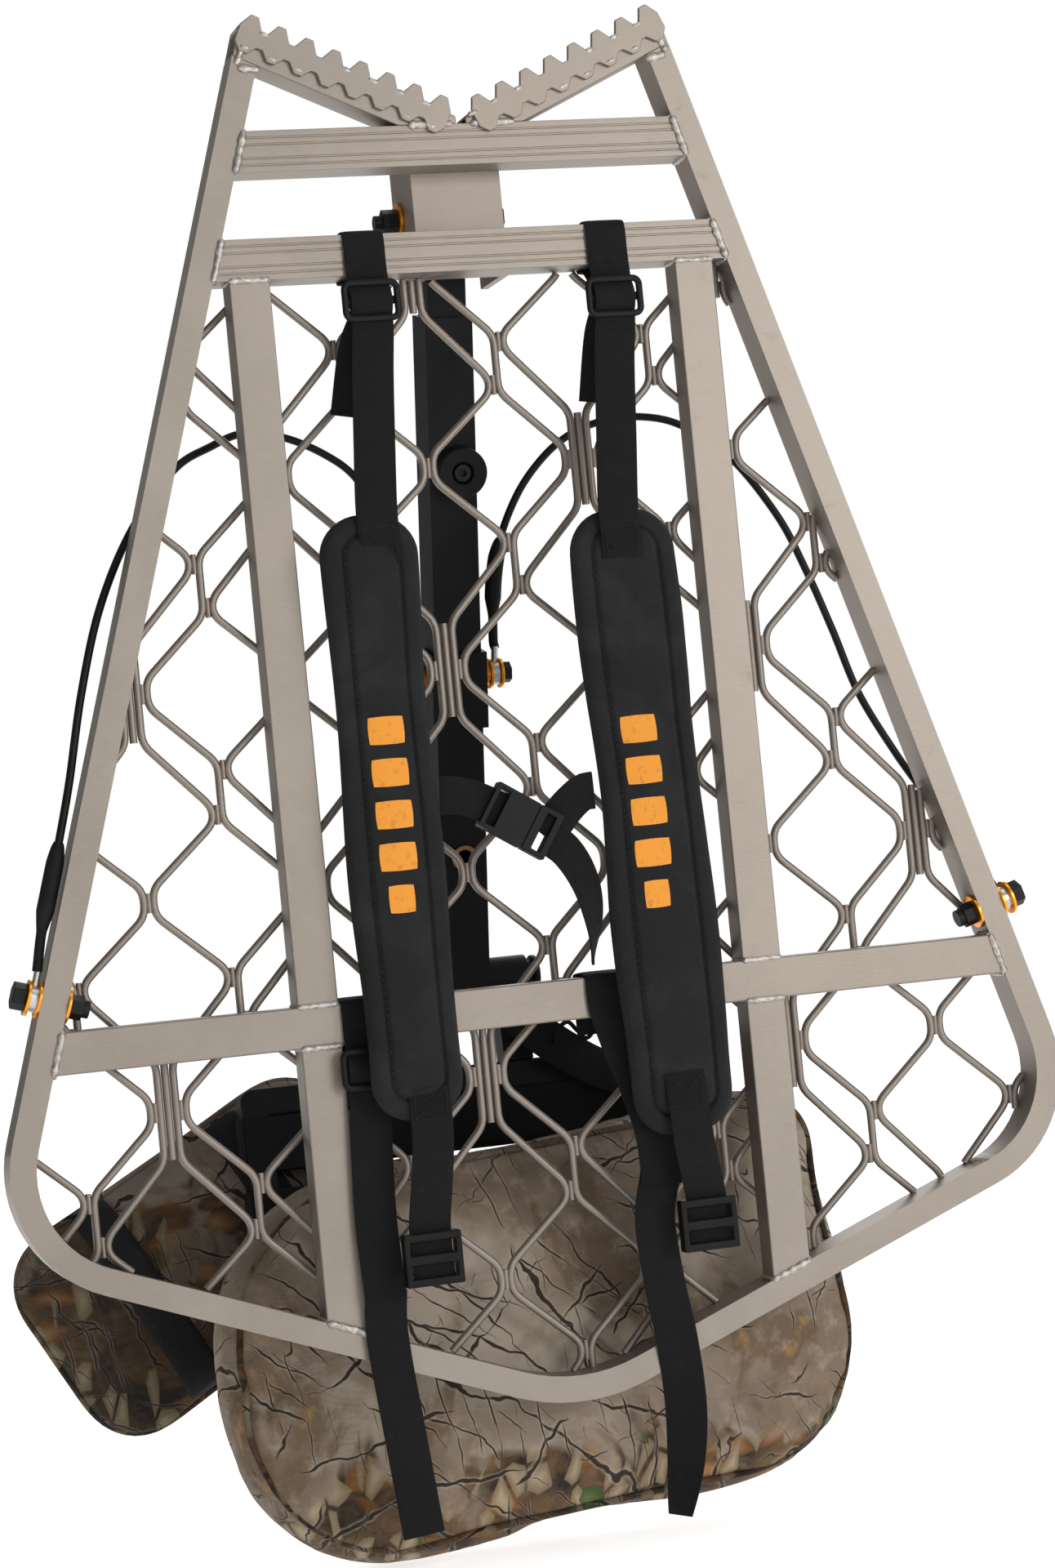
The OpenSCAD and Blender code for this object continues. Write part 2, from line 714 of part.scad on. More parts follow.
module back_pad() {
    color(camo) stand() on_seat() on_back_pad() plate_y(-20, 40) union() {
        square([190, 150], center = true);
        square([250, 90], center = true);
        for (x = [-95, 95]) for (z = [-45, 45]) translate([x, z]) circle(r = 30, $fn = 64);
    }
}

module back_pad_straps() {
    color(black) stand() on_seat() on_back_pad() for (x = [-52, 52]) difference() {
        translate([x - web_w / 2, -20 - gap - web_t, -75 - gap - web_t])
            cube([web_w, 40 + 2 * gap + 2 * web_t, 150 + 2 * gap + 2 * web_t]);
        translate([x - web_w, -20 - gap, -75 - gap]) cube([2 * web_w, 40 + 2 * gap, 150 + 2 * gap]);
    }
}

// Flat webbing along a route; u is the direction across the webbing
module webbing(v, u, w = web_w, t = web_t) {
    n = len(v);
    pts = [for (k = [0 : n - 1]) let (a = unit(cross(ahead(v, k), u)), b = unit(u))
        for (q = [[-1, -1], [1, -1], [1, 1], [-1, 1]]) v[k] + q[0] * w / 2 * b + q[1] * t / 2 * a];
    faces = concat([[3, 2, 1, 0]],
        [for (k = [0 : n - 2]) for (m = [0 : 3]) let (q = (m + 1) % 4)
            [k * 4 + m, k * 4 + q, (k + 1) * 4 + q, (k + 1) * 4 + m]],
        [[for (m = [0 : 3]) (n - 1) * 4 + m]]);
    polyhedron(points = pts, faces = faces, convexity = 6);
}

module pad_outline(w, l) {
    r = 26;
    x = w / 2;
    union() {
        translate([-x + r, -l]) square([w - 2 * r, l]);
        translate([-x, -l + r]) square([w, l - 2 * r]);
        for (s = [-1, 1]) for (z = [-r, -l + r]) translate([s * (x - r), z]) circle(r = r, $fn = 64);
    }
}

pad_y = -pad_t - 12;

module shoulder_pad_left() {
    color(black) stand() translate([-90, 0, 305]) rotate([0, 0.2, 0]) plate_y(pad_y, pad_t)
        pad_outline(pad_w - 8, pad_l - 20);
}

module shoulder_pad_right() {
    color(black) stand() translate([71, 0, 298]) rotate([0, -0.9, 0]) plate_y(pad_y, pad_t)
        pad_outline(pad_w, pad_l);
}

// Upper webbing: up from the pad, over the second crossbar, and back down through the glide
module upper_web(x_pad, z_pad, x_bar, x_tail) {
    t = web_t / 2 + gap;
    zt = bar2_z + bar_h / 2;
    zb = bar2_z - bar_h / 2;
    webbing([[x_pad, pad_y - t, z_pad - 30], [x_pad, pad_y - t, z_pad + 4],
             [(x_pad + x_bar) / 2, -14, (z_pad + zb) / 2], [x_bar, -5.4, zb - 18], [x_bar, -t - 1, zb + 2],
             [x_bar, -t - 0.6, zt + t], [x_bar, rail_d + t, zt + t + 0.4]], [1, 0, 0.001]);
    webbing([[x_bar, rail_d + t, zt + t - 1], [x_bar, rail_d + t, zb - t], [x_bar, 2, zb - t - 3],
             [x_bar, -1.2, zb - 18], [(x_bar + x_tail) / 2, 3, zb - 44], [x_tail, 6, zb - 86]], [1, 0, 0.001]);
}

module web_upper_left() {
    color(black) stand() upper_web(-84, 305, -70, -86);
}

module web_upper_right() {
    color(black) stand() upper_web(69, 298, 86, 74);
}

// Slide frame with a middle bar and two slots
module glide(w, h) {
    difference() {
        translate([-w / 2, -3.6, -h / 2]) cube([w, 7.2, h]);
        for (s = [-1, 1]) translate([-w / 2 + 3, -4, s * h / 4 - h / 8]) cube([w - 6, 8, h / 4]);
        translate([-w / 2 + 3, -1.9, -h / 2 + 2.5]) cube([w - 6, 3.8, h - 5]);
    }
}

module glides() {
    zb = bar2_z - bar_h / 2;
    color(black) stand() {
        for (p = [[-70, zb - 17], [86, zb - 22]])
            translate([p[0], -3.3, p[1]]) difference() {
                translate([-19, -5.5, -13]) cube([38, 10.5, 26]);
                translate([-web_w / 2 - 1, -3.9, -14]) cube([web_w + 2, 7.4, 28]);
            }
        translate([-117, -5.2, -28]) difference() {
            translate([-18, -4.5, -13]) cube([36, 9, 26]);
            translate([-web_w / 2 - 1, -3, -14]) cube([web_w + 2, 6, 28]);
        }
    }
}

// Lower webbing from each pad to its ladder lock
module web_lower_left() {
    color(black) stand() webbing([[-86, pad_y - 1.3, -42], [-86, pad_y - 1.5, -76], [-90, pad_y + 2, -104],
                                  [-92, pad_y + 4, -128]], [1, 0, 0.05]);
}

module web_lower_right() {
    color(black) stand() webbing([[76, pad_y - 1.3, -50], [78, pad_y - 1.5, -84], [82, pad_y + 2, -112],
                                  [84, pad_y + 4, -128]], [1, 0, -0.05]);
}

module ladder_lock() {
    difference() {
        translate([-18, -4.5, -16]) cube([36, 9, 32]);
        for (z = [3, -11]) translate([-14, -6, z]) cube([28, 12, 8]);
    }
}

module ladder_locks() {
    color(black) stand() {
        translate([-92, pad_y + 4, -145]) ladder_lock();
        translate([84, pad_y + 4, -145]) ladder_lock();
    }
}

// Loose ends that hang over the front bar
module tail_left() {
    color(black) stand() webbing([[-119, -6, -162], [-120, -4.5, -182], [-119, -4, -205], [-116, -3, -240],
                                  [-112, -2, -280], [-109, -2, -312]], [1, 0, 0.02]);
}

module tail_right() {
    color(black) stand() webbing([[60, -9, -112], [54, -8, -140], [58, -6, -180], [62, -4, -215],
                                  [64, -3, -256], [60, -5, -290], [50, -8, -322]], [1, 0, -0.12]);
}

module web_anchor_left() {
    t = web_t / 2 + gap;
    h = bar_h / 2;
    x = -116.5;
    color(black) stand() webbing([[x, bar_d + deck_t + t, -h - 12], [x, bar_d + deck_t + t, h + t],
                                  [x, -t - 0.2, h + t], [x, -t - 1.6, -h], [x, -4.2, -h - 14],
                                  [x - 3, -5, -80], [x - 4, -5, -120], [x - 4, -6, -160]], [1, 0, 0.001]);
}

module web_anchor_right() {
    t = web_t / 2 + gap;
    h = bar_h / 2;
    x = 39;
    color(black) stand() webbing([[x, bar_d + deck_t + t, -h - 12], [x, bar_d + deck_t + t, h + t],
                                  [x, -t - 0.2, h + t], [x + 1, -t - 1.6, -h], [x + 6, -5, -32],
                                  [x + 14, -7, -58], [x + 20, -8.5, -84], [x + 21, -9, -108]], [1, 0, 0.001]);
}

// Sternum strap with its side release buckle
module sternum_left() {
    color(black) stand() webbing([[-59.6, -19, 132], [-44, -20, 130], [-31, -20, 124]], [0.16, 0, 1], 24, web_t);
}

module sternum_right() {
    color(black) stand() webbing([[35.6, -19, 127], [24, -20, 124], [12, -21, 112], [3, -20, 102]], [0.35, 0, 1], 24, web_t);
}

// Loose end that hangs from the plug
module sternum_tail() {
    color(black) stand() webbing([[16, -21, 92], [23, -21, 80], [29, -20, 64], [30, -18, 42], [28, -15, 24]],
                                 [0.45, 0.85, 0.3], 22, web_t);
}

module buckle_socket() {
    color(black) stand() translate([-14, -20, 114]) rotate([0, 33, 0]) difference() {
        translate([-20, -5, -15]) cube([30, 10, 30]);
        translate([-6, -3.3, -12]) cube([17, 6.6, 24]);
        translate([-17, -6, -12]) cube([6, 12, 24]);
    }
}

module buckle_plug() {
    color(black) stand() translate([-14, -20, 114]) rotate([0, 33, 0]) difference() {
        union() {
            translate([10.3, -4.5, -15]) cube([16, 9, 30]);
            for (s = [-1, 1]) translate([-4, -2.8, s * 9 - 2]) cube([14.5, 5.6, 4]);
        }
        translate([16, -6, -12]) cube([6, 12, 24]);
    }
}

rail();
crossbar_top();
crossbar_second();
crossbar_wide();
stringer_upper_left();
stringer_upper_right();
stringer_lower_left();
stringer_lower_right();
notch_arm_left();
notch_arm_right();
tooth_plate_left();
tooth_plate_right();
deck();
post_bracket();
rail_bolts();
rail_washers();
rail_nuts();
cable_left();
cable_right();
cable_ends();
pivot_bolt();
pivot_washers();
post_foot();
post_tube();
post_spacers();
bumper();
bumper_screw();
cable_bracket();
cable_bolt();
cable_washers();
post_bushing();
seat_bar();
seat_hubs();
seat_frame();
seat_webs();
seat_cushion();
back_pad();
back_pad_straps();
seat_strap();
seat_cord();
shoulder_pad_left();
shoulder_pad_right();
web_upper_left();
web_upper_right();
glides();
web_lower_left();
web_lower_right();
ladder_locks();
tail_left();
tail_right();
web_anchor_left();
web_anchor_right();
sternum_left();
sternum_right();
sternum_tail();
buckle_socket();
buckle_plug();
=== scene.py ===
"""Looks of the folded tree stand: metal, deck strands, cables, cushions and harness."""

import json
import math

import bmesh
import bpy
import numpy as np
from mathutils import Matrix, Vector
from mathutils.bvhtree import BVHTree

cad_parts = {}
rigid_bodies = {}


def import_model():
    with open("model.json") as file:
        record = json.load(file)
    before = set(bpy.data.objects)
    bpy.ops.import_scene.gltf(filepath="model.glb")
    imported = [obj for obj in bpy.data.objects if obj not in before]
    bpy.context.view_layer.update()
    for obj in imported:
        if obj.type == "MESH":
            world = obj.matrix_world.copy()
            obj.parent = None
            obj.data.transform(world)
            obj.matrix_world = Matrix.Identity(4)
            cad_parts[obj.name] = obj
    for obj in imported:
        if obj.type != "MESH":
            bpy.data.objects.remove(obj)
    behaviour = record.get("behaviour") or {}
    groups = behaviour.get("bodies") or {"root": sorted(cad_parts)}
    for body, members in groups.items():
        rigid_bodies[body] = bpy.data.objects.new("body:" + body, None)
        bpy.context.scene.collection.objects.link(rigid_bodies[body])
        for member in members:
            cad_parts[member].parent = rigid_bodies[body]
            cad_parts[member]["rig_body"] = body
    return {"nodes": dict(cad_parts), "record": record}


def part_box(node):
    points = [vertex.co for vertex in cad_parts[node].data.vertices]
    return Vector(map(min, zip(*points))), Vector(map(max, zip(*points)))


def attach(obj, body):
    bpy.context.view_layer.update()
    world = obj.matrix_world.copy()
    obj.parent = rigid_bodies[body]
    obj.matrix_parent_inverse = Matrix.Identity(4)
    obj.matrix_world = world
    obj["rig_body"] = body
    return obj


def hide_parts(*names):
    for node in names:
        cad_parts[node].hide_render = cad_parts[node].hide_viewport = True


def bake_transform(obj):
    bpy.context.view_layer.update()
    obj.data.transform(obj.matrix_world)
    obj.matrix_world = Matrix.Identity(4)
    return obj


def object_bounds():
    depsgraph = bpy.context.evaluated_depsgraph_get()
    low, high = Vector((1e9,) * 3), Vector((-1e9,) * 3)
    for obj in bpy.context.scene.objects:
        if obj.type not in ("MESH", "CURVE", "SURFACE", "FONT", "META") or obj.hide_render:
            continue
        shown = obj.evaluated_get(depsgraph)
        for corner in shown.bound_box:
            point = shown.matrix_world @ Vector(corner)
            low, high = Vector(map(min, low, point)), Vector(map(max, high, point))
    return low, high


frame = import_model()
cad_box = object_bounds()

bl_info = {
    "name": "Folded tree stand",
    "version": (1, 0, 0),
    "blender": (4, 5, 0),
    "location": "View3D > Sidebar > Tree stand",
    "description": "Builds the visual pieces of a folded tree stand around its CAD frame",
    "category": "Object",
}

MM = 0.001
low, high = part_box("crossbar_wide")
# The sizes below are in millimetres from the middle of the wide crossbar's front face
SHIFT = np.array([0.0, low.y / MM, (low.z + high.z) / 2 / MM])

# Frame
RAIL_ANGLE = math.radians(16.8)
FRONT_ANGLE = math.radians(20.8)
RAIL_W, RAIL_D, BAR_H, BAR_D = 16.0, 25.4, 25.4, 20.0
CORNER_R, APEX_R, FRONT_REACH = 77.0, 120.0, 254.0
BAR1_Z, BAR2_Z, STRINGER_X = 533.0, 467.0, 143.0
RAIL_TOP_HALF, RAIL_TOP_Z = 138.0, 600.0
# How far the outer line of the side rail and of the front rail lies from the middle
LINE_A = RAIL_TOP_HALF * math.cos(RAIL_ANGLE) + RAIL_TOP_Z * math.sin(RAIL_ANGLE)
LINE_B = FRONT_REACH * math.cos(FRONT_ANGLE)
NOTCH_ANGLE, NOTCH_TIP_Z, TOOTH_H, TOOTH_N = math.radians(24.8), 558.0, 8.0, 8
NOTCH_Z = NOTCH_TIP_Z - TOOTH_H / math.cos(NOTCH_ANGLE)
# Deck
CELL_W, CELL_H, DECK_X, DECK_Z, DECK_T = 100.0, 126.0, -36.0, 210.0, 5.0
STRAND, SPLICE, BOND = 4.4, 60.0, 8.0
# A bond's strands lie one step off its middle, and its height is staggered from the splices
STRAND_STEP, STAGGER = STRAND / 2 + 0.8, 13.5
# Post and seat
POST_X, PIVOT_Y, PIVOT_Z, POST_L = -3.0, 60.0, BAR2_Z + 30.0, 500.0
POST_ANGLE, SEAT_ANGLE = math.radians(14.4), math.radians(7.6)
TUBE = 19.0
SEAT_TURN = math.radians(4.1)
WEB_Z = (-93, -140, -188, -236)
WEB_EDGE = 150.0 + TUBE / 2
BACK_PAD_SPOT, BACK_PAD_TURN = np.array([-182.0, 34.5, -157.0]), math.radians(28.0)
# Harness
PAD_T = 13.0
PAD_Y = -PAD_T - 12.0

CABLE_LEFT = [(-309, 8.8, 50), (-304, 9, 74), (-297, 9, 98), (-290, 10, 121), (-279, 12, 160),
              (-266, 16, 213), (-249, 22, 264), (-224, 31, 310), (-192, 42, 347), (-166, 50, 361),
              (-143, 58, 369), (-115, 67, 366), (-87, 78, 355), (-66, 88, 340), (-48, 100, 312),
              (-37, 112, 280), (-32, 121, 248), (-31.4, 127.4, 235), (-31.4, 126, 228.5)]
CABLE_RIGHT = [(312, 19, 43), (310, 34, 56), (302, 54, 82), (291, 68, 108), (278, 80, 137),
               (257, 80, 177), (243, 80, 220), (228, 80, 262), (212, 80, 298), (184, 82, 338),
               (151, 84, 362), (120, 88, 369), (95, 92, 366), (76, 96, 358), (60, 100, 345),
               (45, 105, 326), (33, 112, 300), (27, 119, 272), (25.4, 127.4, 236), (25.4, 126, 228.5)]


# ---------------------------------------------------------------- geometry helpers

def row(points):
    """Millimetre points to the row frame, in metres."""
    return (np.asarray(points, float) + SHIFT) * MM


def unit(v):
    """The vectors at length 1."""
    return v / np.maximum(np.linalg.norm(v, axis=-1, keepdims=True), 1e-12)


def smooth_path(points, step):
    """A Catmull-Rom curve through the points, resampled to an even step."""
    p = np.asarray(points, float)
    ext = np.vstack([2 * p[0] - p[1], p, 2 * p[-1] - p[-2]])
    t = np.linspace(0, 1, 24, endpoint=False)[:, None]
    out = []
    for a, b, c, d in zip(ext, ext[1:], ext[2:], ext[3:]):
        out.append(0.5 * (2 * b + (c - a) * t + (2 * a - 5 * b + 4 * c - d) * t**2
                          + (3 * b - a - 3 * c + d) * t**3))
    dense = np.vstack(out + [p[-1:]])
    return even(dense, step)


def even(dense, step):
    """The polyline resampled to points an even distance apart."""
    seg = np.linalg.norm(np.diff(dense, axis=0), axis=1)
    s = np.concatenate([[0], np.cumsum(seg)])
    n = max(3, int(round(s[-1] / step)) + 1)
    at = np.linspace(0, s[-1], n)
    return np.stack([np.interp(at, s, dense[:, k]) for k in range(dense.shape[1])], axis=1)


def rounded(points, reach, samples=5):
    """The polyline with each corner replaced by a short parabola that starts and ends reach away."""
    p = np.asarray(points, float)
    out = [p[0]]
    for a, b, c in zip(p, p[1:], p[2:]):
        u, w = a - b, c - b
        lu, lw = np.linalg.norm(u), np.linalg.norm(w)
        q0, q1 = b + u / lu * min(reach, lu * 0.49), b + w / lw * min(reach, lw * 0.49)
        for t in np.linspace(0, 1, samples):
            out.append((1 - t) ** 2 * q0 + 2 * t * (1 - t) * b + t * t * q1)
    out.append(p[-1])
    return np.array(out)


def tangents(path):
    """Direction of the path at each of its points."""
    return unit(np.gradient(path, axis=0))


class Surface:
    """Collects parametric grids into one mesh, with a UV map in metres."""

    def __init__(self):
        self.verts, self.faces, self.uvs, self.count = [], [], [], 0

    def grid(self, pts, wrap=False, caps=False, uv=None):
        """Adds points P(i, j). wrap joins the last j to the first, and caps closes both ends of i."""
        ni, nj = pts.shape[:2]
        idx = np.arange(ni * nj).reshape(ni, nj) + self.count
        cols = nj if wrap else nj - 1
        i, j = np.meshgrid(np.arange(ni - 1), np.arange(cols), indexing="ij")
        i, j = i.ravel(), j.ravel()
        jn = (j + 1) % nj
        quads = np.stack([idx[i, j], idx[i + 1, j], idx[i + 1, jn], idx[i, jn]], axis=1)
        if uv is None:
            along = np.concatenate([[0], np.cumsum(np.linalg.norm(np.diff(pts[:, 0], axis=0), axis=1))])
            loop = np.vstack([pts[ni // 2], pts[ni // 2, :1]])
            around = np.concatenate([[0], np.cumsum(np.linalg.norm(np.diff(loop, axis=0), axis=1))])
        else:
            along, around = uv
        u, v = around, along
        quv = np.stack([np.stack([u[j], v[i]], 1), np.stack([u[j], v[i + 1]], 1),
                        np.stack([u[j + 1], v[i + 1]], 1), np.stack([u[j + 1], v[i]], 1)], axis=1)
        self.verts.append(pts.reshape(-1, 3))
        self.faces += quads.tolist()
        self.uvs.append(quv.reshape(-1, 2))
        if caps and wrap:
            for ring, vv in ((idx[0], v[0]), (idx[-1][::-1], v[-1])):
                self.faces.append(ring.tolist())
                self.uvs.append(np.stack([u[:nj], np.full(nj, vv)], 1))
        self.count += ni * nj
        return self

    def sweep(self, path, across, section, caps=True, scale=None):
        """Carries a closed section (x across, y out) along a path. scale is a factor for each ring."""
        t = tangents(path)
        a = unit(across - (across * t).sum(1, keepdims=True) * t)
        b = np.cross(t, a)
        k = np.ones(len(path)) if scale is None else np.asarray(scale)
        pts = (path[:, None] + (a[:, None] * section[None, :, :1] + b[:, None] * section[None, :, 1:])
               * k[:, None, None])
        return self.grid(pts, wrap=True, caps=caps)

    def object(self, name, angle=40, recalc=True):
        mesh = bpy.data.meshes.new(name)
        v = np.vstack(self.verts)
        mesh.from_pydata(v.tolist(), [], self.faces)
        layer = mesh.uv_layers.new(name="UVMap")
        layer.data.foreach_set("uv", np.vstack(self.uvs).astype(np.float32).ravel())
        if recalc:
            bm = bmesh.new()
            bm.from_mesh(mesh)
            bmesh.ops.recalc_face_normals(bm, faces=bm.faces)
            bm.to_mesh(mesh)
            bm.free()
        return place(name, mesh, angle)


def place(name, mesh, angle=40):
    """A new object with smooth faces and edges left sharp above an angle."""
    if angle is not None:
        mesh.polygons.foreach_set("use_smooth", [True] * len(mesh.polygons))
        mesh.set_sharp_from_angle(angle=math.radians(angle))
    mesh.update()
    obj = bpy.data.objects.new(name, mesh)
    bpy.context.scene.collection.objects.link(obj)
    return obj


def ellipse(width, depth, sides, power=2.0):
    """Section |x/a|^power + |y/b|^power = 1, by angle."""
    a = np.linspace(0, 2 * np.pi, sides, endpoint=False) + np.pi / sides
    c, s = np.cos(a), np.sin(a)
    r = (np.abs(c) ** power + np.abs(s) ** power) ** (-1 / power)
    return np.stack([c * r * width / 2, s * r * depth / 2], axis=1)


def round_across(path):
    """A direction across the path that turns as little as it can."""
    t = tangents(path)
    ref = np.array([0.0, 1.0, 0.0]) if abs(t[0, 1]) < 0.8 else np.array([1.0, 0, 0])
    out = [unit(np.cross(t[0], ref))]
    for k in range(1, len(path)):
        v = out[-1] - (out[-1] @ t[k]) * t[k]
        out.append(unit(v))
    return np.array(out)


def noise(points, scale, seed):
    """Smooth value noise from three turned sums of sines, about -1 to 1."""
    rng = np.random.RandomState(seed)
    total = np.zeros(len(points))
    for _ in range(7):
        k = rng.normal(size=3)
        k *= scale * rng.uniform(0.6, 1.5) / np.linalg.norm(k)
        total += np.sin(points @ k + rng.uniform(0, 6.283))
    return total / 3.2


def softened(node, width, segments=2, angle=34, material=None, merge=0.00001):
    """A CAD node's own shape with its edges rounded, standing for that node."""
    source = frame["nodes"][node]
    bm = bmesh.new()
    bm.from_mesh(source.data)
    bmesh.ops.remove_doubles(bm, verts=bm.verts, dist=merge)
    bmesh.ops.dissolve_limit(bm, angle_limit=math.radians(0.6), verts=bm.verts, edges=bm.edges)
    mesh = bpy.data.meshes.new(node + "_look")
    bm.to_mesh(mesh)
    bm.free()
    mesh.polygons.foreach_set("use_smooth", [True] * len(mesh.polygons))
    obj = bpy.data.objects.new(node + "_look", mesh)
    bpy.context.scene.collection.objects.link(obj)
    mod = obj.modifiers.new("round", "BEVEL")
    mod.width, mod.segments, mod.limit_method = width * MM, segments, "ANGLE"
    mod.angle_limit = math.radians(angle)
    mod.use_clamp_overlap = True
    flat = obj.modifiers.new("flat", "WEIGHTED_NORMAL")
    flat.mode, flat.weight, flat.keep_sharp = "FACE_AREA", 100, True
    final = baked(obj)
    bpy.data.objects.remove(obj)
    final.materials.clear()
    out = place(node + "_look", final, None)
    return finish_piece(out, source["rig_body"], material, node)


def baked(obj):
    """The object's mesh with its modifiers applied."""
    depsgraph = bpy.context.evaluated_depsgraph_get()
    return bpy.data.meshes.new_from_object(obj.evaluated_get(depsgraph))


def slot_of(node):
    for part in frame["record"]["subparts"]:
        if part["node"] == node:
            return part["material_slot"]
    raise ValueError(node)


def finish_piece(obj, body, material, *nodes):
    """Gives a piece its material and body, hides the CAD nodes it stands for, and looks up the first node's
    material slot without keeping it.
    """
    if material is not None:
        obj.data.materials.clear()
        obj.data.materials.append(material)
    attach(obj, body)
    if nodes:
        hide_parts(*nodes)
        slot_of(nodes[0])
    return obj


def to_row():
    """Matrix from the stand's millimetres to the row frame."""
    return Matrix.Translation(Vector(SHIFT * MM)) @ Matrix.Scale(MM, 4)


def piece(surface, name, body, look, node=None, slot=None, angle=40):
    """Makes a surface in the stand's millimetres into a finished piece in the row frame."""
    obj = surface.object(name, angle)
    obj.data.transform(to_row())
    finish_piece(obj, body, material(look), *([node] if node else []))
    return obj


def sewn(surface, line, thread, every):
    """Adds a row of tapered stitches, one for every few points of a line."""
    for k in range(0, len(line) - every + 1, every):
        part = line[k:k + 3]
        surface.sweep(part, round_across(part), ellipse(thread, thread, 6), scale=[0.5, 1, 0.5])


def at_depth(flat, depth):
    """Outline points (x, z) as points (x, depth, z)."""
    return np.stack([flat[:, 0], np.full(len(flat), depth), flat[:, 1]], axis=1)


def crown(inset, reach):
    """Rise of a stuffed face from 0 at its seam to 1 at reach: 1 - (1 - inset / reach) squared."""
    return 1 - (1 - min(inset / reach, 1.0)) ** 2


def across_body(place_points, direction, count):
    """A local direction turned into the stand's frame, once for each of count points."""
    tip, base = place_points(np.array([direction, (0.0, 0.0, 0.0)], float))
    return np.tile(tip - base, (count, 1))


def path_length(points):
    """Length of the polyline through the points."""
    return float(np.linalg.norm(np.diff(points, axis=0), axis=1).sum())


# ---------------------------------------------------------------- shader helpers

class Value:
    """A shader socket with arithmetic."""

    def __init__(self, tree, socket):
        self.tree, self.socket = tree, socket

    def _math(self, operation, a, b=None):
        sockets = {0: a} if b is None else {0: a, 1: b}
        node = self.tree.node("ShaderNodeMath", {"operation": operation}, sockets)
        return Value(self.tree, node.outputs[0])

    def __add__(self, other): return self._math("ADD", self, other)
    def __radd__(self, other): return self._math("ADD", other, self)
    def __sub__(self, other): return self._math("SUBTRACT", self, other)
    def __rsub__(self, other): return self._math("SUBTRACT", other, self)
    def __mul__(self, other): return self._math("MULTIPLY", self, other)
    def __truediv__(self, other): return self._math("DIVIDE", self, other)
    def sin(self): return self._math("SINE", self)
    def abs(self): return self._math("ABSOLUTE", self)
    def fract(self): return self._math("FRACT", self)
    def above(self, limit): return self._math("GREATER_THAN", self, limit)
    def high(self, other): return self._math("MAXIMUM", self, other)

    def ramp(self, a, b, to_a=0.0, to_b=1.0):
        """Smooth step from to_a at a, to to_b at b."""
        node = self.tree.node("ShaderNodeMapRange", {"interpolation_type": "SMOOTHSTEP"},
                              {"Value": self, "From Min": a, "From Max": b, "To Min": to_a, "To Max": to_b})
        return Value(self.tree, node.outputs[0])


class Material:
    """A node tree with one method that makes any node."""

    def __init__(self, name):
        self.material = bpy.data.materials.new(name)
        self.material.use_nodes = True
        self.tree = self.material.node_tree
        self.tree.nodes.clear()
        self.out = self.node("ShaderNodeOutputMaterial")
        self.bsdf = self.node("ShaderNodeBsdfPrincipled")
        self.tree.links.new(self.bsdf.outputs[0], self.out.inputs[0])

    def node(self, kind, settings=None, sockets=None):
        node = self.tree.nodes.new(kind)
        for key, value in (settings or {}).items():
            setattr(node, key, value)
        self.feed(node, sockets or {})
        return node

    def feed(self, node, sockets):
        for key, value in sockets.items():
            socket = node.inputs[key]
            if isinstance(value, Value):
                self.tree.links.new(value.socket, socket)
            elif isinstance(value, (tuple, list)) and socket.type == "RGBA":
                socket.default_value = (*value[:3], 1.0)
            else:
                socket.default_value = value

    def value(self, node, output=0):
        return Value(self, node.outputs[output])

    def coords(self, kind="Object", scale=(1, 1, 1), turn=(0, 0, 0)):
        base = self.value(self.node("ShaderNodeTexCoord"), kind)
        return self.value(self.node("ShaderNodeMapping", None, {
            "Vector": base, "Scale": scale, "Rotation": turn}))

    def noise(self, vector, scale, detail=3.0, rough=0.5, distortion=0.0):
        return self.value(self.node("ShaderNodeTexNoise", None, {
            "Vector": vector, "Scale": scale, "Detail": detail, "Roughness": rough,
            "Distortion": distortion}), "Fac")

    def cells(self, vector, scale, feature="F1", output="Distance", randomness=1.0):
        return self.value(self.node("ShaderNodeTexVoronoi", {"feature": feature}, {
            "Vector": vector, "Scale": scale, "Randomness": randomness}), output)

    def split(self, vector):
        node = self.node("ShaderNodeSeparateXYZ", None, {0: vector})
        return [self.value(node, k) for k in range(3)]

    def mix(self, factor, a, b):
        node = self.node("ShaderNodeMix", {"data_type": "RGBA"}, {0: factor, 6: a, 7: b})
        return self.value(node, 2)

    def bump(self, height, distance, strength=1.0):
        return self.value(self.node("ShaderNodeBump", None, {
            "Height": height, "Distance": distance, "Strength": strength}))

    def shade(self, **sockets):
        names = {"color": "Base Color", "rough": "Roughness", "metal": "Metallic", "normal": "Normal",
                 "coat": "Coat Weight", "sheen": "Sheen Weight", "specular": "Specular IOR Level"}
        self.feed(self.bsdf, {names[k]: v for k, v in sockets.items()})
        return self.material


def frame_metal(name, colour, streak=(6, 6, 60)):
    """Satin aluminium with faint rubbing marks, dusty patches and a fine drawn grain."""
    m = Material(name)
    o = m.coords()
    patch = m.noise(o, 14, 5, 0.6)
    fine = m.noise(m.coords(scale=streak), 22, 3, 0.6)
    speck = m.noise(o, 420, 2, 0.6)
    scuff = m.noise(o, 46, 6, 0.75, 1.2).ramp(0.58, 0.72)
    dark = tuple(c * 0.86 for c in colour)
    light = tuple(min(1.0, c * 1.13) for c in colour)
    base = m.mix(patch.ramp(0.35, 0.68), dark, colour)
    base = m.mix(fine.ramp(0.42, 0.78, 0, 0.28), base, light)
    base = m.mix(scuff * 0.22, base, tuple(c * 1.3 for c in colour))
    rough = 0.36 + patch * 0.16 + scuff * 0.12 + fine * 0.06
    return m.shade(color=base, rough=rough, metal=0.72, specular=0.5,
                   normal=m.bump(speck * 0.6 + fine, 0.00012, 0.55))


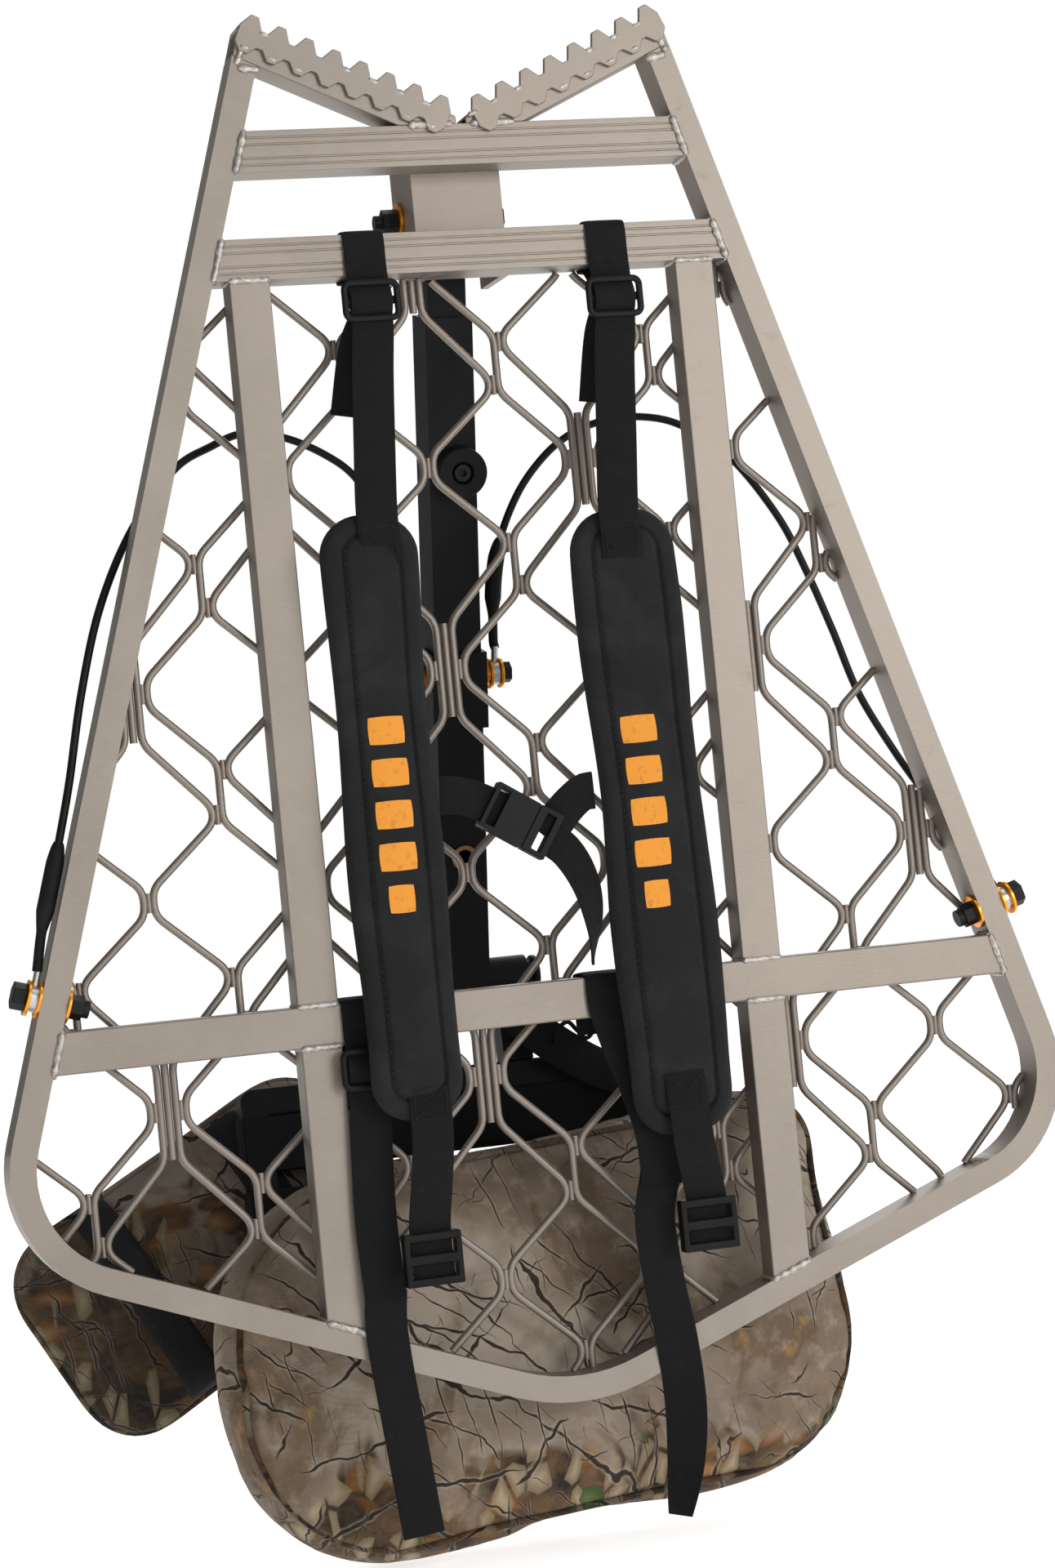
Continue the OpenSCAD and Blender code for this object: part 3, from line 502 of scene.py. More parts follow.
def weld_metal():
    m = Material("weld_bead")
    o = m.coords()
    n = m.noise(o, 260, 3, 0.6)
    base = m.mix(n.ramp(0.35, 0.7), (0.33, 0.30, 0.27), (0.56, 0.53, 0.49))
    return m.shade(color=base, rough=0.34 + n * 0.25, metal=0.8, normal=m.bump(n, 0.0008, 0.7))


def black_paint(name="black_coat", tint=(0.006, 0.006, 0.0065), rough=0.40):
    m = Material(name)
    o = m.coords()
    n = m.noise(o, 900, 2, 0.5)
    patch = m.noise(o, 18, 4, 0.6)
    dust = m.noise(o, 60, 6, 0.7).ramp(0.55, 0.8)
    base = m.mix(dust * 0.3, tint, (0.024, 0.022, 0.020))
    return m.shade(color=base, rough=rough + 0.06 + patch * 0.2 + dust * 0.12, specular=0.16,
                   normal=m.bump(n, 0.00012, 0.5))


def simple_metal(name, colour, rough, grain=240):
    m = Material(name)
    n = m.noise(m.coords(), grain, 3, 0.6)
    wear = m.noise(m.coords(), 90, 4, 0.7).ramp(0.5, 0.75)
    base = m.mix(wear * 0.4, colour, tuple(c * 0.55 for c in colour))
    return m.shade(color=base, rough=rough + n * 0.14, metal=0.92, normal=m.bump(n, 0.0001, 0.5))


def plastic(name, tint, rough):
    m = Material(name)
    n = m.noise(m.coords(), 700, 2, 0.5)
    patch = m.noise(m.coords(), 40, 3, 0.5)
    base = m.mix(patch.ramp(0.4, 0.75) * 0.5, tint, tuple(c * 1.9 for c in tint))
    return m.shade(color=base, rough=rough + patch * 0.14, specular=0.14, normal=m.bump(n, 0.00006, 0.5))


def webbing_cloth(name="webbing", tint=(0.0065, 0.0065, 0.007)):
    """Woven nylon: ribs along the strap and a fine pick across it, in the strap's own UV."""
    m = Material(name)
    u, v, _ = m.split(m.coords("UV"))
    ribs = (u * 3100.0).sin()
    pick = (v * 4200.0 + (u * 1550.0).sin() * 1.6).sin()
    weave = ribs * 0.5 + pick * 0.5
    fuzz = m.noise(m.coords(), 240, 4, 0.65)
    lint = m.noise(m.coords(), 36, 5, 0.7).ramp(0.52, 0.8)
    base = m.mix(weave.ramp(-0.8, 0.9, 0.0, 0.75), tint, tuple(c * 2.1 for c in tint))
    base = m.mix(lint * 0.22, base, (0.028, 0.027, 0.026))
    return m.shade(color=base, rough=0.66 + fuzz * 0.2, sheen=0.02, specular=0.18,
                   normal=m.bump(weave * 0.6 + fuzz * 0.5, 0.00035, 0.8))


def pad_cloth(name="pad_shell", tint=(0.0105, 0.0110, 0.0115)):
    """Woven charcoal shell: a fine basket weave and soft rubbed patches."""
    m = Material(name)
    o = m.coords()
    x, _, z = m.split(o)
    weave = (x * 5200.0).sin() * (z * 5200.0).sin()
    patch = m.noise(o, 22, 5, 0.65, 0.4)
    fuzz = m.noise(o, 520, 3, 0.6)
    base = m.mix(patch.ramp(0.4, 0.72), tint, tuple(c * 1.75 for c in tint))
    base = m.mix(weave.ramp(0.2, 1.0, 0, 0.35), base, tuple(c * 2.3 for c in tint))
    return m.shade(color=base, rough=0.74 + fuzz * 0.15, sheen=0.03, specular=0.18,
                   normal=m.bump(weave * 0.4 + fuzz * 0.7 + patch * 1.5, 0.0004, 0.7))


def camo_cloth(name, litter=0.0, shade=1.0, turn=(0.2, 0.5, 0.9)):
    """Printed woodland cloth: smooth bark-grey ground with forked twigs, and a leaf litter of brown and
    orange leaves that takes over low down. litter moves the border between them up."""
    m = Material(name)
    o = m.coords(turn=turn)
    tone = lambda *c: tuple(k * shade for k in c)
    soft = m.noise(o, 8, 4, 0.5, 0.6)
    mid = m.noise(o, 24, 5, 0.6, 0.8)
    fine = m.noise(o, 75, 4, 0.65)
    ground = m.mix(soft.ramp(0.36, 0.62), tone(0.165, 0.122, 0.086), tone(0.355, 0.295, 0.235))
    ground = m.mix(mid.ramp(0.50, 0.66) * 0.6, ground, tone(0.225, 0.160, 0.105))
    field = m.noise(m.coords(scale=(1, 1, 0.6), turn=(0.5, 1.9, 0.1)), 9, 5, 0.6, 1.1)
    ground = m.mix(field.ramp(0.56, 0.62) * 0.75, ground, tone(0.120, 0.078, 0.046))
    ground = m.mix(field.ramp(0.63, 0.68) * 0.75, ground, tone(0.300, 0.170, 0.070))
    ground = m.mix(fine.ramp(0.5, 0.75) * 0.35, ground, tone(0.42, 0.37, 0.31))
    floor = m.mix(mid.ramp(0.34, 0.66), tone(0.018, 0.012, 0.008), tone(0.135, 0.080, 0.040))
    floor = m.mix(fine.ramp(0.48, 0.66) * 0.7, floor, tone(0.060, 0.040, 0.026))
    for k, (scale, limit, c0, c1, stretch) in enumerate((
            (30, 0.62, tone(0.13, 0.060, 0.020), tone(0.31, 0.160, 0.060), (1, 1, 2.0)),
            (40, 0.66, tone(0.20, 0.150, 0.090), tone(0.36, 0.285, 0.19), (2.1, 1, 1)),
            (46, 0.93, tone(0.045, 0.070, 0.020), tone(0.11, 0.155, 0.050), (1.5, 1, 1)))):
        where = m.coords(scale=stretch, turn=(0.3 + k, 0.6, 0.2 + 0.8 * k))
        pick = m.split(m.cells(where, scale, output="Color"))
        edge = m.cells(where, scale, "DISTANCE_TO_EDGE")
        mask = pick[0].above(limit) * edge.ramp(0.04, 0.10)
        vein = edge.ramp(0.08, 0.45)
        floor = m.mix(mask * 0.92, floor, m.mix(vein, c0, c1))
    x, _, z = m.split(m.coords())
    zone = (m.noise(o, 8, 4, 0.6, 0.7) + (litter - z) * 3.2 + (x - 0.10).high(0.0) * 2.2).ramp(0.52, 0.59)
    base = m.mix(zone, ground, floor)
    # twigs: families of bent parallel lines, each cut into tapered lengths by noise
    sway = m.noise(o, 10, 4, 0.55)
    kink = m.noise(o, 55, 2)
    for k, (angle, pitch, width, limit) in enumerate((
            (0.5, 0.052, 0.0019, 0.50), (1.25, 0.038, 0.0013, 0.50), (2.1, 0.045, 0.0016, 0.50),
            (2.75, 0.027, 0.0009, 0.52), (0.95, 0.023, 0.0008, 0.53), (0.05, 0.019, 0.0007, 0.54))):
        along = x * math.cos(angle) + z * math.sin(angle) + m.split(o)[1] * 0.5
        t = (along + sway * (0.09 - 0.012 * k) + kink * 0.006) / pitch + 0.37 * k
        away = (t.fract() - 0.5).abs() * pitch
        gate = m.noise(m.coords(turn=(0.3 * k, 0.7, 1.1 * k)), 7 + 3 * k, 2).ramp(limit, limit + 0.14)
        reach = gate * width
        base = m.mix(away.ramp(reach, reach + 0.0022, 0.28, 0.0) * gate, base, tone(0.44, 0.385, 0.31))
        base = m.mix(away.ramp(reach * 0.7, reach + 0.0003, 0.96, 0.0) * gate.above(0.02), base,
                     tone(0.018, 0.012, 0.009))
    # a spray of green leaves low on the left
    spot = m.value(m.node("ShaderNodeVectorMath", {"operation": "DISTANCE"},
                          {0: m.coords(), 1: tuple(row([-26.0, 70.0, -279.0]))}), "Value")
    where = m.coords(scale=(1.8, 1, 1), turn=(0.2, 0.5, 0.4))
    leaf = m.cells(where, 62, "DISTANCE_TO_EDGE")
    near = (spot + m.noise(o, 45, 2) * 0.02).ramp(0.030, 0.036, 1.0, 0.0)
    base = m.mix(near * leaf.ramp(0.02, 0.06) * 0.97, base,
                 m.mix(leaf.ramp(0.05, 0.4), tone(0.060, 0.120, 0.034), tone(0.21, 0.32, 0.14)))
    fuzz = m.noise(o, 620, 3, 0.6)
    crease = m.noise(m.coords(scale=(1, 1, 2.4), turn=(0.2, 0.3, 0.6)), 17, 4, 0.55, 0.5)
    return m.shade(color=base, rough=0.76 + fuzz * 0.12, sheen=0.04, specular=0.2,
                   normal=m.bump(fuzz * 0.35 + crease * 5.0, 0.0009, 0.75))


MATERIALS = {}


def material(name):
    """Makes a named material once."""
    if name not in MATERIALS:
        c = bpy.context.scene.stand_colours
        MATERIALS[name] = {
            "frame": lambda: frame_metal("frame_alu", tuple(c.frame)),
            # deck: the frame aluminium darkened x0.86, a painted shade for the shadowed sides of the narrow
            # strands
            "deck": lambda: frame_metal("deck_alu", tuple(k * 0.86 for k in c.frame), (20, 20, 20)),
            "weld": weld_metal,
            "black": black_paint,
            "zinc": lambda: black_paint("black_zinc", (0.010, 0.010, 0.010), 0.30),
            "orange": lambda: simple_metal("orange_anodised", tuple(c.orange), 0.26),
            "steel": lambda: simple_metal("zinc_steel", (0.55, 0.55, 0.56), 0.28),
            "bronze": lambda: simple_metal("bronze", (0.30, 0.17, 0.08), 0.36),
            "rubber": lambda: plastic("rubber_black", (0.008, 0.008, 0.008), 0.60),
            "cable": lambda: plastic("cable_vinyl", (0.008, 0.008, 0.008), 0.30),
            "buckle": lambda: plastic("buckle_acetal", (0.0055, 0.0055, 0.006), 0.36),
            "webbing": webbing_cloth,
            "thread": lambda: webbing_cloth("stitching", (0.018, 0.018, 0.019)),
            "pad": pad_cloth,
            "print": lambda: pad_print((0.74, 0.27, 0.012)),
            "camo": lambda: camo_cloth("camo_seat", -0.812),
            "camo_dark": lambda: camo_cloth("camo_pad", -0.66, 0.5, (1.1, 0.2, 2.3)),
        }[name]()
    return MATERIALS[name]


def pad_print(colour):
    """Orange rubber print, worn through in spots."""
    m = Material("pad_print")
    o = m.coords()
    worn = m.noise(o, 190, 5, 0.75).ramp(0.56, 0.62)
    fuzz = m.noise(o, 600, 3, 0.6)
    base = m.mix(worn * 0.3, colour, (0.12, 0.06, 0.02))
    return m.shade(color=base, rough=0.55 + fuzz * 0.2, normal=m.bump(fuzz, 0.0002, 0.5))


# ---------------------------------------------------------------- shapes of the stand

def half_at(z, d):
    """Half width of the frame at height z, d inside the outer face of the rail."""
    return (LINE_A - d - z * math.sin(RAIL_ANGLE)) / math.cos(RAIL_ANGLE)


def loop_centres():
    """Centres of the rail's corner arc and of its front arc."""
    ca, sa = math.cos(RAIL_ANGLE), math.sin(RAIL_ANGLE)
    cb, sb = math.cos(FRONT_ANGLE), math.sin(FRONT_ANGLE)
    r1, r2 = LINE_A - CORNER_R, LINE_B - CORNER_R
    q = math.cos(RAIL_ANGLE - FRONT_ANGLE)
    return (np.array([(cb * r1 + sa * r2) / q, (sb * r1 - ca * r2) / q]),
            np.array([0.0, -FRONT_REACH + APEX_R / cb]))


def inside_loop(x, z, d):
    """True inside the rail loop, d inside its outer face: two straight lines and two arcs."""
    x = np.abs(x)
    corner, apex = loop_centres()
    n1 = np.array([math.cos(RAIL_ANGLE), math.sin(RAIL_ANGLE)])
    n2 = np.array([math.sin(FRONT_ANGLE), -math.cos(FRONT_ANGLE)])
    ok = (x * n1[0] + z * n1[1] <= LINE_A - d) & (x * n2[0] + z * n2[1] <= LINE_B - d)
    for centre, radius, lo, hi in ((corner, CORNER_R, -math.pi / 2 + FRONT_ANGLE, RAIL_ANGLE),
                                   (apex, APEX_R, -math.pi / 2, -math.pi / 2 + FRONT_ANGLE)):
        dx, dz = x - centre[0], z - centre[1]
        angle = np.arctan2(dz, dx)
        sector = (angle >= lo) & (angle <= hi)
        ok &= ~sector | (np.hypot(dx, dz) <= radius - d)
    return ok


def on_post(points):
    """Local post points (x, y, -distance down the post) to the stand's millimetres."""
    p = np.asarray(points, float)
    c, s = math.cos(POST_ANGLE), math.sin(POST_ANGLE)
    y, z = p[..., 1], p[..., 2]
    return np.stack([p[..., 0] + POST_X, PIVOT_Y + y * c - z * s, PIVOT_Z + y * s + z * c], axis=-1)


def on_seat(points):
    """Local seat points to the stand's millimetres; the seat hangs down from its hinge along -z."""
    p = np.asarray(points, float)
    hinge = on_post(np.array([0.0, 0.0, -POST_L]))
    c, s = math.cos(-SEAT_ANGLE), math.sin(-SEAT_ANGLE)
    y, z = p[..., 1], p[..., 2]
    return np.stack([p[..., 0] + hinge[0], hinge[1] + y * c - z * s, hinge[2] + y * s + z * c], axis=-1)


def is_even(i, j):
    return abs(i + j) % 2 == 0


def side_strand(i, s):
    """Strand beside column i: along each splice and bond, bowing out to the middle strand."""
    out = []
    for j in range(-4, 3):
        e = is_even(i, j)
        x, z = DECK_X + i * CELL_W, DECK_Z + j * CELL_H
        aside, half = (STRAND + 0.6, SPLICE / 2) if e else (STRAND_STEP, BOND)
        bow, up = CELL_W / 2 - 2 * STRAND_STEP, CELL_H / 2 + (STAGGER if e else -STAGGER)
        for dx, dz in ((aside, -half), (aside, half), (bow, up - 5), (bow, up + 5)):
            out.append((x + s * dx, z + dz))
    return np.array(out)


def mid_strand(i):
    """Strand half way between columns i and i + 1: it touches the splices on both sides in turn."""
    out = []
    for j in range(-4, 3):
        e = is_even(i, j)
        z = DECK_Z + j * CELL_H
        x = DECK_X + i * CELL_W + 2 * STRAND + 2 if e else DECK_X + (i + 1) * CELL_W - 2 * STRAND - 2
        mid = DECK_X + i * CELL_W + CELL_W / 2
        for q in ((x, z - BOND), (x, z + BOND), (mid, z + CELL_H / 2 - 18), (mid, z + CELL_H / 2 + 18)):
            out.append(q)
    return np.array(out)


def runs(mask):
    """Start and end of each run of true values."""
    m = np.concatenate([[False], mask, [False]]).astype(int)
    return zip(np.where(np.diff(m) == 1)[0], np.where(np.diff(m) == -1)[0])


# ---------------------------------------------------------------- properties

class StandSizes(bpy.types.PropertyGroup):
    strand_width: bpy.props.FloatProperty(
        name="Strand width", description="Face width of one deck strand", default=0.0047, unit="LENGTH")
    cable_diameter: bpy.props.FloatProperty(
        name="Cable diameter", description="Outside diameter of the coated cables",
        default=0.005, unit="LENGTH")
    webbing_width: bpy.props.FloatProperty(
        name="Webbing width", description="Width of the harness webbing", default=0.026, unit="LENGTH")
    webbing_thickness: bpy.props.FloatProperty(
        name="Webbing thickness", description="Thickness of the harness webbing",
        default=0.0019, unit="LENGTH")
    weld_radius: bpy.props.FloatProperty(
        name="Weld radius", description="Radius of the weld beads", default=0.0023, unit="LENGTH")
    edge_radius: bpy.props.FloatProperty(
        name="Tube edge", description="Outside edge rounding of the frame tubes",
        default=0.0013, unit="LENGTH")
    cushion_swell: bpy.props.FloatProperty(
        name="Cushion swell", description="How far the stuffing may push the cushion cloth out",
        default=0.009, unit="LENGTH")


class StandColours(bpy.types.PropertyGroup):
    frame: bpy.props.FloatVectorProperty(
        name="Frame", description="Colour of the frame tubes", subtype="COLOR", size=3,
        default=(0.290, 0.249, 0.212))
    orange: bpy.props.FloatVectorProperty(
        name="Washers", description="Colour of the anodised washers", subtype="COLOR", size=3,
        default=(0.86, 0.34, 0.03))
    floor: bpy.props.FloatVectorProperty(
        name="Floor", description="Colour of the studio floor", subtype="COLOR", size=3,
        default=(0.95, 0.95, 0.95))


def sizes():
    return bpy.context.scene.stand_sizes


# ---------------------------------------------------------------- operators

def studio_world():
    """A surround that looks plain white, and whose light grows from the left to the right."""
    world = bpy.data.worlds.new("studio")
    world.use_nodes = True
    nodes, links = world.node_tree.nodes, world.node_tree.links
    seen, lit = nodes["Background"], nodes.new("ShaderNodeBackground")
    seen.inputs[0].default_value = lit.inputs[0].default_value = (1.0, 1.0, 1.0, 1.0)
    seen.inputs[1].default_value = 1.0
    split, side = nodes.new("ShaderNodeSeparateXYZ"), nodes.new("ShaderNodeMapRange")
    side.inputs["From Min"].default_value, side.inputs["From Max"].default_value = -1.0, 0.8
    side.inputs["To Min"].default_value, side.inputs["To Max"].default_value = 0.06, 0.62
    mix, path = nodes.new("ShaderNodeMixShader"), nodes.new("ShaderNodeLightPath")
    for start, end in ((nodes.new("ShaderNodeTexCoord").outputs["Generated"], split.inputs[0]),
                       (split.outputs[0], side.inputs["Value"]), (side.outputs[0], lit.inputs[1]),
                       (path.outputs["Is Camera Ray"], mix.inputs[0]), (lit.outputs[0], mix.inputs[1]),
                       (seen.outputs[0], mix.inputs[2]), (mix.outputs[0], nodes["World Output"].inputs[0])):
        links.new(start, end)
    return world


def studio_camera():
    """A camera in front of the stand, a little to its left, rolled slightly."""
    eye = row([-624.0, -2130.0, 84.0])
    right = Vector((0.95565, -0.27842, -0.09598)).normalized()
    ahead = Vector((0.28176, 0.95921, 0.02287)).normalized()
    up = right.cross(ahead).normalized()
    data = bpy.data.cameras.new("camera")
    camera = bpy.data.objects.new("camera", data)
    camera.matrix_world = Matrix(((right.x, up.x, -ahead.x, eye[0]), (right.y, up.y, -ahead.y, eye[1]),
                                  (right.z, up.z, -ahead.z, eye[2]), (0, 0, 0, 1)))
    data.sensor_fit, data.sensor_height, data.lens = "VERTICAL", 36.0, 82.74
    data.clip_start, data.clip_end = 0.05, 40.0
    return camera


class STAND_OT_stage(bpy.types.Operator):
    """Adds the camera, soft lights, a pale surround that is darker on the left, and a plain pale floor.

    The floor is a flat grid just below the stand's lowest point."""
    bl_idname = "stand.stage"
    bl_label = "Stage"

    def execute(self, context):
        camera = studio_camera()
        context.scene.collection.objects.link(camera)
        context.scene.camera = camera
        floor_z = min(cad_box[0][2], cad_box[1][2]) - 0.002
        xs = np.linspace(-9, 9, 13)
        pts = np.array([[(x, y, floor_z) for x in xs] for y in xs])
        floor = Surface().grid(pts).object("floor", recalc=False)
        m = Material("floor_paper")
        n = m.noise(m.coords(), 5, 2)
        c = tuple(bpy.context.scene.stand_colours.floor)
        m.bsdf.inputs["Emission Color"].default_value = (1.0, 1.0, 1.0, 1.0)
        m.bsdf.inputs["Emission Strength"].default_value = 0.7
        shade = m.mix(n, c, tuple(k * 0.985 for k in c))
        floor.data.materials.append(m.shade(color=shade, rough=0.9, specular=0.05))
        for name, place_at, size, power, aim in (
                ("key", (1.7, -3.3, 0.3), 1.5, 48, (0, 0, -0.45)),
                ("fill", (-1.0, -3.4, 0.3), 1.6, 10, (0, 0, -0.5)),
                ("top", (0.6, -0.6, 2.6), 1.5, 12, (0, 0, -0.4)),
                ("back", (1.2, 2.8, 1.4), 1.8, 30, (0, 0, -0.4))):
            light = bpy.data.lights.new(name, "AREA")
            light.shape, light.size, light.energy = "SQUARE", size, power
            lamp = bpy.data.objects.new(name, light)
            context.scene.collection.objects.link(lamp)
            lamp.location = place_at
            lamp.rotation_euler = (Vector(aim) - Vector(place_at)).to_track_quat("-Z", "Y").to_euler()
        context.scene.world = studio_world()
        context.scene.view_settings.view_transform = "Standard"
        return {"FINISHED"}


class STAND_OT_cables(bpy.types.Operator):
    """Adds the two coated cables and their sleeves.

    Each is a circle carried along a smooth curve through its route points. The sleeve is the same
    circle with a radius that swells and tapers along the first and last stretch."""
    bl_idname = "stand.cables"
    bl_label = "Cables"

    def execute(self, context):
        d = sizes().cable_diameter / MM
        for side, route in (("left", CABLE_LEFT), ("right", CABLE_RIGHT)):
            path = smooth_path(route, 3.0)
            cable = Surface().sweep(path, round_across(path), ellipse(d, d, 16)).object("cable_look_" + side)
            cable.data.transform(to_row())
            cable.data.materials.append(material("cable"))
            sleeves = Surface()
            total = path_length(path)
            s = np.linspace(0, total, len(path))
            for a, b in ((0, 78), (total - 74, total)):
                part = path[(s >= a) & (s <= b)]
                t = np.linspace(0, 1, len(part))
                if a > 0:
                    t = 1 - t
                grow = 1.22 + 0.95 * np.clip((t - 0.30) / 0.16, 0, 1) * np.clip((1.0 - t) / 0.16, 0, 1) ** 0.6
                grow[0] = grow[1] if a == 0 else grow[0]
                sleeves.sweep(part, round_across(part), ellipse(d, d, 16), scale=grow)
            sleeve = sleeves.object("cable_sleeves_" + side)
            sleeve.data.transform(to_row())
            sleeve.data.materials.append(material("rubber"))
            for piece in (cable, sleeve):
                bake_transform(piece)
            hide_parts("cable_" + side)
        return {"FINISHED"}


class STAND_OT_frame(bpy.types.Operator):
    """Rounds the long edges of the welded frame tubes, notch arms, tooth plates and post bracket.

    These are the CAD shapes with a small edge radius; their surfaces aren't changed."""
    bl_idname = "stand.frame"
    bl_label = "Frame"

    def execute(self, context):
        edge = sizes().edge_radius / MM
        for node in ("rail", "crossbar_wide", "stringer_upper_left", "stringer_upper_right",
                     "stringer_lower_left", "stringer_lower_right", "notch_arm_left", "notch_arm_right",
                     "post_bracket"):
            softened(node, edge, 3, material=material("frame"))
        for node in ("crossbar_top", "crossbar_second"):
            softened(node, 0.35, 2, material=material("frame"))
        for node in ("tooth_plate_left", "tooth_plate_right"):
            softened(node, 0.7, 2, material=material("frame"))
        return {"FINISHED"}


class STAND_OT_welds(bpy.types.Operator):
    """Adds the weld beads.

    A bead is a half-sunk circle carried along the joint; its radius is rippled by |sin| of the length
    and roughened by smooth noise."""
    bl_idname = "stand.welds"
    bl_label = "Welds"

    def execute(self, context):
        radius = sizes().weld_radius / MM
        beads = Surface()
        count = 0

        def bead(a, b, r=radius, depth=0.85):
            nonlocal count
            count += 1
            a, b = np.asarray(a, float), np.asarray(b, float)
            length = np.linalg.norm(b - a)
            path = even(np.array([a, b]), 0.7)
            s = np.linspace(0, length, len(path))
            ripple = 0.84 + 0.20 * np.abs(np.sin(s / 2.1 + count))
            ends = np.clip(np.minimum(s, length - s) / 2.2 + 0.25, 0, 1) ** 0.5
            wob = 1 + 0.16 * noise(path, 0.5, count)
            beads.sweep(path, round_across(path), ellipse(2 * r, 2 * r * depth, 10),
                        scale=ripple * ends * wob)

        h = BAR_H / 2
        for side in (-1, 1):
            for z, back in ((BAR1_Z, RAIL_D), (BAR2_Z, RAIL_D), (0.0, BAR_D)):
                lo_x, hi_x = side * half_at(z - h, RAIL_W), side * half_at(z + h, RAIL_W)
                for y in (-0.2, back + 0.2):
                    bead((lo_x, y, z - h), (hi_x, y, z + h))
                for x, zz in ((lo_x, z - h), (hi_x, z + h)):
                    bead((x - side * 0.6, 1, zz), (x - side * 0.6, back - 1, zz), radius * 0.9)
            for z in (BAR2_Z - h, h, -h):
                x = side * STRINGER_X
                bead((x - h, -0.1, z), (x + h, -0.1, z), radius * 0.85)
                for edge in (-h, h):
                    bead((x + edge, 1, z), (x + edge, BAR_D - 1, z), radius * 0.7)
            inner = [(x, -FRONT_REACH + abs(x) * math.tan(FRONT_ANGLE) + RAIL_W / math.cos(FRONT_ANGLE))
                     for x in (side * (STRINGER_X - h), side * (STRINGER_X + h))]
            bead((inner[0][0], -0.1, inner[0][1]), (inner[1][0], -0.1, inner[1][1]))
            for x, z in inner:
                bead((x, 1, z + 0.5), (x, BAR_D - 1, z + 0.5), radius * 0.8)
            # notch arms: over the rail end, on the top crossbar, and tacks between the teeth
            ca, sa = math.cos(NOTCH_ANGLE), math.sin(NOTCH_ANGLE)
            top = NOTCH_Z + half_at(NOTCH_Z + 55, 8) * math.tan(NOTCH_ANGLE)
            outer = half_at(top - 10, 0)
            bead((side * outer, -0.2, top - 22), (side * (outer - 9), -0.2, top - 2))
            bead((side * (outer - 14), -0.2, top - 26), (side * (outer - 1), -0.2, top - 24), radius * 1.1)
            bead((side * 6, -0.2, BAR1_Z + h), (side * 34, -0.2, BAR1_Z + h), radius * 1.1)
            bead((side * 6, RAIL_D, BAR1_Z + h), (side * 34, RAIL_D, BAR1_Z + h), radius * 1.1)
            pitch = (half_at(NOTCH_Z + 55, 0) - 6) / ca / TOOTH_N
            for k in range(TOOTH_N + 1):
                for off, r in ((0.0, 1.7), (0.5, 1.5)):
                    u = (k + off) * pitch + (2 if k == 0 else 0)
                    if u > TOOTH_N * pitch - 1:
                        continue
                    w = -1.0 if off == 0.0 else -13.0
                    x, z = 5 + u * ca - w * sa, NOTCH_Z + 2.3 + u * sa + w * ca
                    dx, dz = 3.2 * ca, 3.2 * sa
                    if math.sin(7.3 * k + 5.1 * off + side) > -0.35:
                        bead((side * (x - dx), -2.2, z - dz), (side * (x + dx), -2.2, z + dz), r)
            for x in (side * 24.0, side * 29.0):
                bead((x, RAIL_D + 0.3, BAR2_Z - h + 2), (x, RAIL_D + 0.3, BAR2_Z + h - 2), radius * 0.9)
                bead((x, RAIL_D + 0.3, BAR1_Z - h + 2), (x, RAIL_D + 0.3, BAR1_Z + h - 2), radius * 0.9)
        piece(beads, "weld_beads", "platform", "weld", slot="frame_alu")
        return {"FINISHED"}


class STAND_OT_deck(bpy.types.Operator):
    """Adds the open mesh deck as separate bent strands.

    Each strand is a rounded rectangle (a superellipse) carried along its zigzag with softened corners,
    and cut where it meets the rails. Short bars fill the bonds between strands."""
    bl_idname = "stand.deck"
    bl_label = "Deck"

    def execute(self, context):
        width = sizes().strand_width / MM
        y = BAR_D + DECK_T / 2
        top = BAR2_Z - BAR_H / 2 - 0.4
        section = ellipse(width, DECK_T, 12, 2.8)
        strands = Surface()

        def add(flat, sec=section, step=2.6):
            line = even(rounded(flat, 6.5, 6), step)
            keep = inside_loop(line[:, 0], line[:, 1], RAIL_W - 0.4) & (line[:, 1] < top)
            for a, b in runs(keep):
                if b - a < 4:
                    continue
                part = line[a:b]
                path = np.stack([part[:, 0], np.full(b - a, y), part[:, 1]], axis=1)
                t = tangents(path)
                across = np.cross(t, [0.0, 1.0, 0.0])
                strands.sweep(path, across, sec)

        def short_bar(x, z, half, sec, step):
            add(np.array([(x, z - half), (x, z), (x, z + half)]), sec, step)

        small = ellipse(3.4, DECK_T * 0.78, 10, 3.0)
        for i in range(-4, 4):
            for s in (-1, 1):
                add(side_strand(i, s))
            add(mid_strand(i))
            for j in range(-4, 3):
                x, z = DECK_X + i * CELL_W, DECK_Z + j * CELL_H
                e = is_even(i, j)
                if e:
                    for off, half in ((0.0, SPLICE / 2 - 1), (-7.9, 6), (7.9, 6)):
                        short_bar(x + off, z, half, section if off == 0 else small, 2.0)
                else:
                    short_bar(x, z, 6, small, 1.6)
                for s in (-1, 1):
                    short_bar(x + CELL_W / 2 + s * STRAND_STEP,
                              z + CELL_H / 2 + s * (-STAGGER if e else STAGGER), 6, small, 1.6)
        piece(strands, "deck_strands", "platform", "deck", "deck", angle=60)
        return {"FINISHED"}


